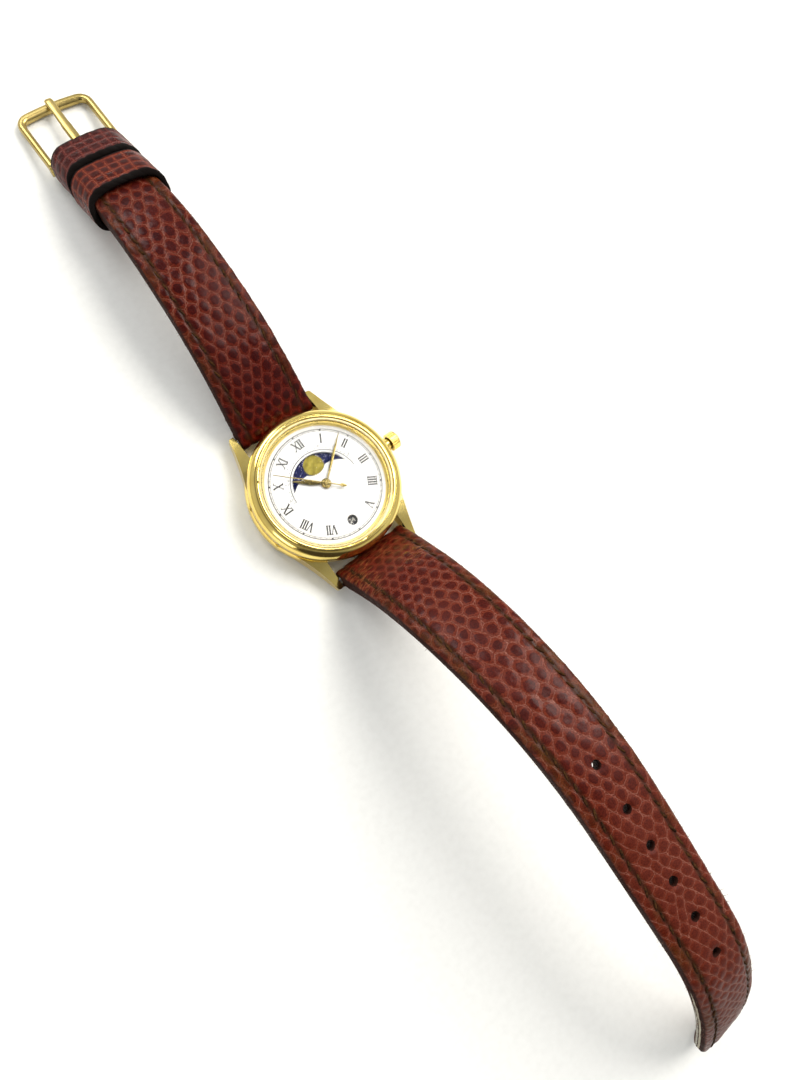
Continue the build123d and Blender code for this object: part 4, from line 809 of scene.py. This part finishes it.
# The tail half is worn most, and its edge shows the card. Beside the case its skin gets a painted highlight:
# tan streaks of glare on the creases
tail = StrapHalf(
    name="tail", side=-1, length=111.0, end_width=9.2, edge=1.0, end_edge=0.85, crown=0.75, tip=9.8,
    tip_round=0.98, end_height=0.85 * cos(radians(-74.3)), headings=(1.2, 1.0, -2.9, -3.0, 1.6),
    slopes=(58.4, 48.0, 35.7, 25.0, 16.2, 6.7, -2.8, -4.6, -5.8, -33.0, -46.5, -50.6, -74.3),
    scale_across=(1.8, 1.8, 1.95, 2.15, 2.2, 2.2, 2.0, 1.85, 1.7, 1.6, 1.5, 1.45, 1.4),
    scale_along=(1.55, 1.5, 1.75, 2.05, 2.15, 2.05, 1.75, 1.5, 1.4, 1.3, 1.2, 1.15, 1.1),
    holes=[48.2] + [54.9 + 5.6 * k for k in range(5)], seed=1.7, layered_from=79.0, looped_from=never,
    fill=0.8, lined_to=111.0, raw_from=84, stitched_to=107.0,
    skin=glazed_lizard("glazed_lizard_tail", ("50170e", "410e07"), ("622415", "6f2e1c"), "8a5647",
                       "4f3210", 0.12, 0.42, crease_glare=0.75))
buckle_half = StrapHalf(
    name="buckle_half", side=1, length=56.1, end_width=10.3, edge=1.1, end_edge=1.1, crown=0.5, tip=9.0,
    tip_round=0, end_height=2.4, headings=(1.2, 1.9, 1.5), slopes=(34, 29, 18.5, 6, 0.5, -8, -22, -26.5, -18),
    scale_across=(1.85, 1.9, 2.05, 2.1, 2.1, 2.15, 2.15), scale_along=(1.7, 1.8, 1.95, 2.0, 2.1, 2.15, 2.15),
    holes=[], seed=5.3, layered_from=never, looped_from=38.0, fill=0.7, lined_to=54.6, raw_from=never,
    stitched_to=50.0,
    skin=glazed_lizard("glazed_lizard_buckle_half", ("460f09", "350605"), ("551a0d", "672415"), "84503f",
                       "53300d", -0.12, 2.0))


def punch_holes(piece, half):
    """Punches the buckle holes right through a piece, square to the strap.

    The cut leaves the marks of the new walls empty, so they are set there: burnt dark all through.
    """
    punch = bmesh.new()
    for s in half.holes:
        across, up, forward = half.axes(s)
        turn = Matrix((across, forward, up)).transposed().to_4x4()
        bmesh.ops.create_cone(punch, cap_ends=True, segments=36, radius1=hole_radius * mm,
                              radius2=hole_radius * mm, depth=8 * mm,
                              matrix=Matrix.Translation(half.point(s) * mm) @ turn)
    bmesh.ops.recalc_face_normals(punch, faces=punch.faces)
    pins = make_piece("punch_pins", punch, half.skin)
    cut = piece.modifiers.new("punch", "BOOLEAN")
    cut.operation, cut.solver, cut.object = "DIFFERENCE", "EXACT", pins
    pierced = bpy.data.meshes.new_from_object(piece.evaluated_get(bpy.context.evaluated_depsgraph_get()))
    piece.modifiers.clear()
    cores = [(half.point(s), half.axes(s)[1]) for s in half.holes]
    dark_marks = [(pierced.attributes[mark].data, value) for mark, value in
                  (("wear_and_groove_shade", (0, 1, 0.5, 0)), ("tone", (0, 0, 0.5, 0)), ("raw", (0, 0, 0, 1)))
                  if mark in pierced.attributes]
    for vertex in pierced.vertices:
        if any((vertex.co / mm - middle).cross(up).length < hole_radius * 1.02 for middle, up in cores):
            for layer, value in dark_marks:
                layer[vertex.index].color = value
    whole, piece.data = piece.data, pierced
    bpy.data.meshes.remove(whole)
    bpy.data.objects.remove(pins)


for half in (tail, buckle_half):
    leather = make_piece(half.name + "_lizard_leather", half_skin(half), half.skin, half.name)
    if half.holes:
        punch_holes(leather, half)
    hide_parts(half.name + "_upper", half.name + "_core")

# The lining: smooth brown calf, cut to the strap's outline and glued under each half. It is matt,
# and its cut edge is raw and pale where the tail is worn.
grain_per_mm, cloud_per_mm = 2.6, 0.14
calf, put, shader = finish("smooth_lining_calf", roughness=0.65, specular_ior_level=0.15)
place = put("TexCoord").outputs["Object"]
grain = put("TexNoise", Vector=place, Scale=grain_per_mm / mm, Detail=5.0)
cloud = put("TexNoise", Vector=place, Scale=cloud_per_mm / mm, Detail=3.0)
brown = put("ValToRGB", cloud, stops=((0.3, "351c12"), (0.7, "4b2c1e")))
raw_edge = put("ValToRGB", grain, stops=((0.35, "6d675c"), (0.65, "c9c6b8")))
raw = put("Attribute", attribute_name="raw").outputs["Fac"]
feed(shader, base_color=put("MixRGB", raw, brown, raw_edge),
     normal=put("Bump", Height=grain, Strength=0.3, Distance=0.03 * mm))
lining_starts, lining_step, lining_inset = 1.5, 0.8, 0.03


def half_lining(half):
    """A closed slab of lining under a strap half, with its lower edges rounded."""
    sections, marks = [], []
    count = int((half.lined_to - lining_starts) / lining_step)
    for number in range(count + 1):
        s = lining_starts + (half.lined_to - lining_starts) * number / count
        reach, edge = half.wide(s) / 2 - lining_inset, half.thick(s)
        low, high = -edge, lining_thickness - edge
        profile = [(-reach, high)] + [(-reach + 2 * reach * k / 8, high) for k in range(1, 8)]
        profile += [(reach, high)]
        profile += [(reach, (low + high) / 2), (reach - 0.04, low + 0.1), (reach - 0.15, low)]
        profile += [(reach - 2 * reach * k / 8, low) for k in range(1, 8)]
        profile += [(-reach + 0.15, low), (-reach + 0.04, low + 0.1), (-reach, (low + high) / 2)]
        sections.append([tuple(half.at(s, x, y)) for x, y in profile])
        share = min(max((s - half.raw_from) / 4, 0), 1)
        bare = [share if abs(x) > reach - 0.02 and x * -half.side < 0 else 0.0 for x, y in profile]
        marks.append([{"raw": (amount,) * 3 + (1,)} for amount in bare])
    return lofted(sections, None, marks)


for half in (tail, buckle_half):
    lining = make_piece(half.name + "_calf_lining", half_lining(half), calf, half.name)
    if half.holes:
        punch_holes(lining, half)
    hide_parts(half.name + "_lining")

# The stitching: waxed linen thread, aged to a dull dark brown, in a row along each edge. Each stitch
# is sunk in its groove and lies a little askew.
thread = grained("waxed_linen_thread", "4a2f16", "1a0e06", 0.0, 0.9, 0.5, 0.5)
feed(thread.node_tree.nodes["Principled BSDF"], specular_ior_level=0.08)
stitch_pitch, first_stitch, stitch_sunk, stitch_high = 2.0, 2.5, 0.05, 0.13


def stitch_row(shape, half, side):
    """Adds one row of stitches along an edge."""
    count = int((half.stitched_to - first_stitch) / stitch_pitch)
    chance = Random(side + 4)
    for number in range(count + 1):
        s = first_stitch + (half.stitched_to - first_stitch) * number / count + chance.uniform(-0.12, 0.12)
        reach = half.wide(s) / 2
        x = side * (reach - seam_inset + chance.uniform(-0.07, 0.07))
        y = half.thick(s) + half.rise(s) * (1 - abs(x / reach) ** crown_power) - stitch_sunk
        across, up, forward = half.axes(s)
        twist = radians(14 * side + chance.uniform(-9, 9))
        ahead = forward * cos(twist) + across * sin(twist)
        turn = Matrix((up.cross(ahead), ahead, up)).transposed().to_4x4()
        size = Matrix.Diagonal((chance.uniform(0.16, 0.22) * mm, chance.uniform(0.7, 0.95) * mm,
                                stitch_high * mm, 1))
        bmesh.ops.create_uvsphere(shape, u_segments=8, v_segments=6, radius=1,
                                  matrix=Matrix.Translation(half.at(s, x, y) * mm) @ turn @ size)


for half in (tail, buckle_half):
    shape = bmesh.new()
    for side in (-1, 1):
        stitch_row(shape, half, side)
    stitching = make_piece(half.name + "_stitching", shape, thread, half.name)

# Frayed fibres: fine ends of skin that wear has pulled out of the strap's edges. They are paler than
# the dyed face, because the dye doesn't reach them.
fibre_tan = grained("frayed_skin_fibres", "8c6450", "563426", 0.0, 0.8, 0.3)


def edge_fibres(shape, half, stretches, seed):
    """Adds curved hairs along an edge; a stretch is (side, start, end, count)."""
    chance = Random(seed)
    for side, start, end, count in stretches:
        for _ in range(count):
            s = chance.uniform(start, end)
            across, up, forward = half.axes(s)
            root = half.at(s, side * (half.wide(s) / 2 - 0.1), chance.uniform(-0.5, 0.9) * half.thick(s))
            lean = across * side + forward * chance.uniform(-1.2, 1.2) + up * chance.uniform(-0.4, 0.7)
            lean.normalize()
            curl = (forward * chance.uniform(-1, 1) + up * chance.uniform(-0.8, 0.8)) * 0.5
            long, thick_root = chance.uniform(0.25, 0.8), chance.uniform(0.025, 0.045)
            rings = []
            for share in (0, 1 / 3, 2 / 3, 1):
                centre = root + (lean * share + curl * share ** 2) * long
                radius = thick_root * (1 - 0.75 * share)
                rings.append([tuple(centre + forward * radius * cos(a) + up * radius * sin(a))
                              for a in (0, 2 * pi / 3, 4 * pi / 3)])
            join(shape, lofted(rings))


for half, stretches, seed in (
        (tail, ((1, 34, 88, 120), (-1, 40, 96, 70), (1, 6, 34, 20), (-1, 6, 40, 20)), 11),
        (buckle_half, ((1, 8, 34, 45), (-1, 10, 34, 35)), 12)):
    shape = bmesh.new()
    edge_fibres(shape, half, stretches, seed)
    fray = make_piece(half.name + "_frayed_edge", shape, fibre_tan, half.name)


# The two loops: bands of the same lizard skin over calf, glued into a ring, with thick black
# painted edges. One is sewn under the half beside the buckle, the other slides.
def rounded_ring(width, height, radius, count):
    """Points round a rounded rectangle, centred, evenly along its outline, and its length."""
    flat_x, flat_y, arc = width - 2 * radius, height - 2 * radius, pi * radius / 2
    total = 2 * (flat_x + flat_y) + 2 * pi * radius
    quarters = (  # each straight's length and start, and the middle of the corner after it
        (flat_x, -flat_x / 2, height / 2, flat_x / 2, flat_y / 2),
        (flat_y, width / 2, flat_y / 2, flat_x / 2, -flat_y / 2),
        (flat_x, flat_x / 2, -height / 2, -flat_x / 2, -flat_y / 2),
        (flat_y, -width / 2, -flat_y / 2, -flat_x / 2, flat_y / 2))
    points = []
    for number in range(count):
        run = (number + 0.5) / count * total
        for quarter, (length, x, y, corner_x, corner_y) in enumerate(quarters):
            way = radians(90 - 90 * quarter)
            if run <= length:
                points.append((x + run * cos(way - pi / 2), y + run * sin(way - pi / 2)))
                break
            run -= length
            if run <= arc:
                angle = way - run / radius
                points.append((corner_x + radius * cos(angle), corner_y + radius * sin(angle)))
                break
            run -= arc
    return points, total


loop_room, loop_wall, loop_lean, loop_arch, loop_lean_in = 4.0, 0.9, tan(radians(25)), 0.85, 0.05
outer_corner, inner_corner, loop_count = 2.3, 0.7, 150
skin_under_paint, paint_wide, paint_fade = 0.08, 0.3, 0.2


def leather_loop(half, front, length, gap, pitch, seed, room_wide):
    """A loop as a closed ring, arched on top: outer skin, two painted edges and the inside."""
    low = -half.edge - gap
    high = low + loop_room
    s = front - length / 2 - (high + loop_wall) * loop_lean
    across, up, forward = half.axes(s)
    slant = (up + forward * loop_lean).normalized()
    scale = sqrt(1 + loop_lean ** 2)
    tall, centre, wall = loop_room * scale, (high + low) / 2 * scale, loop_wall * scale
    start = half.point(s) - forward * length / 2
    outer, total = rounded_ring(room_wide + 2 * loop_wall, tall + 2 * wall, outer_corner, loop_count)
    inner, _ = rounded_ring(room_wide, tall, inner_corner, loop_count)
    for ring, half_wide, half_tall in ((outer, room_wide / 2 + loop_wall, tall / 2 + wall),
                                       (inner, room_wide / 2, tall / 2)):
        for number, (x, y) in enumerate(ring):
            drop = loop_arch * (abs(x) / half_wide) ** 3 * max(y / half_tall, 0)
            ring[number] = x * (1 - loop_lean_in * max(y / half_tall, 0)), y - drop
    # The band's section, as (share of the wall's depth, distance along the strap): the skin, an
    # edge, the inside and the other edge
    bands = int(length / 0.22)
    profile = [(1, 0.12 + (length - 0.24) * k / bands) for k in range(bands + 1)]
    profile += [(0.86, length - 0.02), (0.5, length), (0.14, length - 0.02)]
    profile += [(0, length - 0.15 - (length - 0.3) * k / 6) for k in range(7)]
    profile += [(0.14, 0.02), (0.5, 0), (0.86, 0.02)]
    sections, places, marks = [], [], []
    for number in range(loop_count + 1):
        o, i = Vector(outer[number % loop_count]), Vector(inner[number % loop_count])
        ring, ring_places, ring_marks = [], [], []
        for depth, ahead in profile:
            spot = i.lerp(o, depth)
            u = number / loop_count * total / pitch[0] + 0.15 * wander(number * 0.1, ahead * 0.4, seed)
            v = ahead / pitch[1] + 0.2 * wander(number * 0.05, ahead * 0.3, seed + 4)
            lift = 0.05 * wander(spot.x, spot.y, ahead * 2 + seed)
            if depth == 1:
                lift = lift + 0.05 * scale_height(u, v) - skin_under_paint
            out = spot.normalized() * lift
            point = start + across * (spot.x + out.x) + slant * (spot.y + out.y + centre) + forward * ahead
            rim = min(ahead, length - ahead)
            # The two edges carry real black edge paint; the inside gets the same black as painted shade, for
            # the shade between the loop and the strap
            black_edge_and_inner_shade = 1.0 if depth < 1 else max(1 - (rim - paint_wide) / paint_fade, 0)
            ring.append(tuple(point))
            ring_places.append((u, v))
            ring_marks.append({"wear_and_groove_shade": (0, min(black_edge_and_inner_shade, 1), 0.5, 0),
                               "tone": (0.3, 0, 0.5 + 0.5 * wander(*point * 0.2), 0)})
        sections.append(ring)
        places.append(ring_places)
        marks.append(ring_marks)
    shape = lofted(sections, places, marks)
    bmesh.ops.delete(shape, geom=[face for face in shape.faces if len(face.verts) > 4], context="FACES_ONLY")
    return shape


for name, body, front, length, gap, pitch, seed, room_wide, discs, rings, web, in (
        ("fixed_loop", "buckle_half", 56.6, 5.9, 0.15, (1.8, 1.75), 2.0, 11.3,
         ("441412", "340c0b"), ("501c19", "5f2721"), "783c31"),
        ("free_loop", "free_loop", 49.9, 6.6, 0.7, (1.75, 1.7), 6.0, 11.5,
         ("471008", "360a05"), ("5e1e0f", "6e2714"), "8f4b2e")):
    skin = glazed_lizard("glazed_lizard_" + name, discs, rings, web, "472213", 0.0, 2.0, "0d0604", True)
    shape = leather_loop(buckle_half, front, length, gap, pitch, seed, room_wide)
    loop = make_piece(name + "_leather", shape, skin, body)
    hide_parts(name)

# The buckle: brass wire pressed to a rounded frame and gold plated, with a satin surface that blurs
# what it mirrors. Its tongue is bent round the spring bar and hooks over the front bar.
buckle_gold = plated_gold("satin_gold_plate", "c2ac6c", "998549", 0.24, 5.0)
pivot = buckle_half.point(buckle_half.length)
buckle_reach, buckle_half_width, arm_width, front_width, buckle_thickness = 11.35, 6.6, 1.2, 1.5, 1.3
front_edge = buckle_reach + front_width / 2
drop = asin((pivot.z - buckle_thickness / 2) / front_edge)
heading = radians(buckle_half.headings[-1])
buckle_across = Vector((cos(heading), -sin(heading), 0))
buckle_ahead = Vector((sin(heading) * cos(drop), cos(heading) * cos(drop), -sin(drop)))
buckle_up = buckle_across.cross(buckle_ahead)


def on_buckle(x, y, z):
    """A point of the buckle's own plane, whose y runs from the bar to the front."""
    return tuple(pivot + buckle_across * x + buckle_ahead * y + buckle_up * z)


def soft_oval(half_wide, half_high, power):
    """Points round a section of the pressed wire, between an oval and a rounded square."""
    points, count = [], 20
    for k in range(count):
        angle = 2 * pi * k / count
        a, b = cos(angle), sin(angle)
        squash = (abs(a) ** power + abs(b) ** power) ** (-1 / power)
        points.append((half_wide * a * squash, half_high * b * squash))
    return points


def bar_eye(shape, x, radius, width):
    """Adds a round eye that turns on the spring bar."""
    flat = Matrix((buckle_across, buckle_ahead, buckle_up)).transposed().to_4x4()
    place = Matrix.Translation(Vector(on_buckle(x, 0, 0)) * mm) @ flat @ Matrix.Rotation(pi / 2, 4, "Y")
    bmesh.ops.create_cone(shape, cap_ends=True, segments=28, radius1=radius * mm, radius2=radius * mm,
                          depth=width * mm, matrix=place)


# The frame's wire: from one arm round a corner to the bowed front, then the same mirrored
corner_radius, front_bow, arm_starts, arm_length, frame_power = 2.3, 0.45, -0.1, 9.3, 2.7
arm_x, turn_radius = buckle_half_width - arm_width / 2, corner_radius - arm_width / 2
front_y = front_edge - front_width / 2
path = [(-arm_x, arm_starts + arm_length * k / 8, arm_width / 2, 90) for k in range(9)]
for k in range(1, 10):
    angle = radians(180 - 9 * k)
    path.append((-arm_x + turn_radius + turn_radius * cos(angle),
                 front_y - front_bow / 2 - turn_radius + turn_radius * sin(angle),
                 arm_width / 2 + (front_width - arm_width) / 2 * k / 10, 90 - 9 * k))
for k in range(17):
    x = (-1 + 2 * k / 16) * (arm_x - turn_radius)
    path.append((x, front_y - front_bow / 2 * (x / (arm_x - turn_radius)) ** 2, front_width / 2, 0))
path += [(-x, y, half_wide, -way) for x, y, half_wide, way in reversed(path[:18])]
shape = lofted([[on_buckle(x - sin(radians(way)) * out, y + cos(radians(way)) * out, z)
                 for out, z in soft_oval(half_wide, buckle_thickness / 2, frame_power)]
                for x, y, half_wide, way in path])
eye_radius = 0.75
for side in (-1, 1):
    bar_eye(shape, side * arm_x, eye_radius, arm_width)
buckle = make_piece("buckle_gilt_frame", shape, buckle_gold, "buckle_frame")
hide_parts("buckle_frame")

# The tongue's stations: how far from the bar, how high, and half its height and width
tongue_half, tongue_eye, tongue_power = 0.825, 1.02, 2.6
tongue_stations = (
    (0.6, 0.55, 0.3, 0.78), (1.6, 0.62, 0.42, 0.8), (3.5, 0.62, 0.42, 0.82), (6.4, 0.66, 0.4, 0.82),
    (7.1, 0.72, 0.34, 0.74), (9.0, 0.9, 0.32, 0.7), (10.6, 1.06, 0.34, 0.72), (11.4, 1.1, 0.36, 0.74),
    (11.95, 1.06, 0.32, 0.66), (12.15, 0.98, 0.2, 0.4))
shape = lofted([[on_buckle(x, y, z + high) for x, high in soft_oval(half_wide, half_high, tongue_power)]
                for y, z, half_high, half_wide in tongue_stations])
bar_eye(shape, 0, tongue_eye, 2 * tongue_half)
tongue = make_piece("buckle_gilt_tongue", shape, buckle_gold, "buckle_tongue")
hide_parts("buckle_tongue")
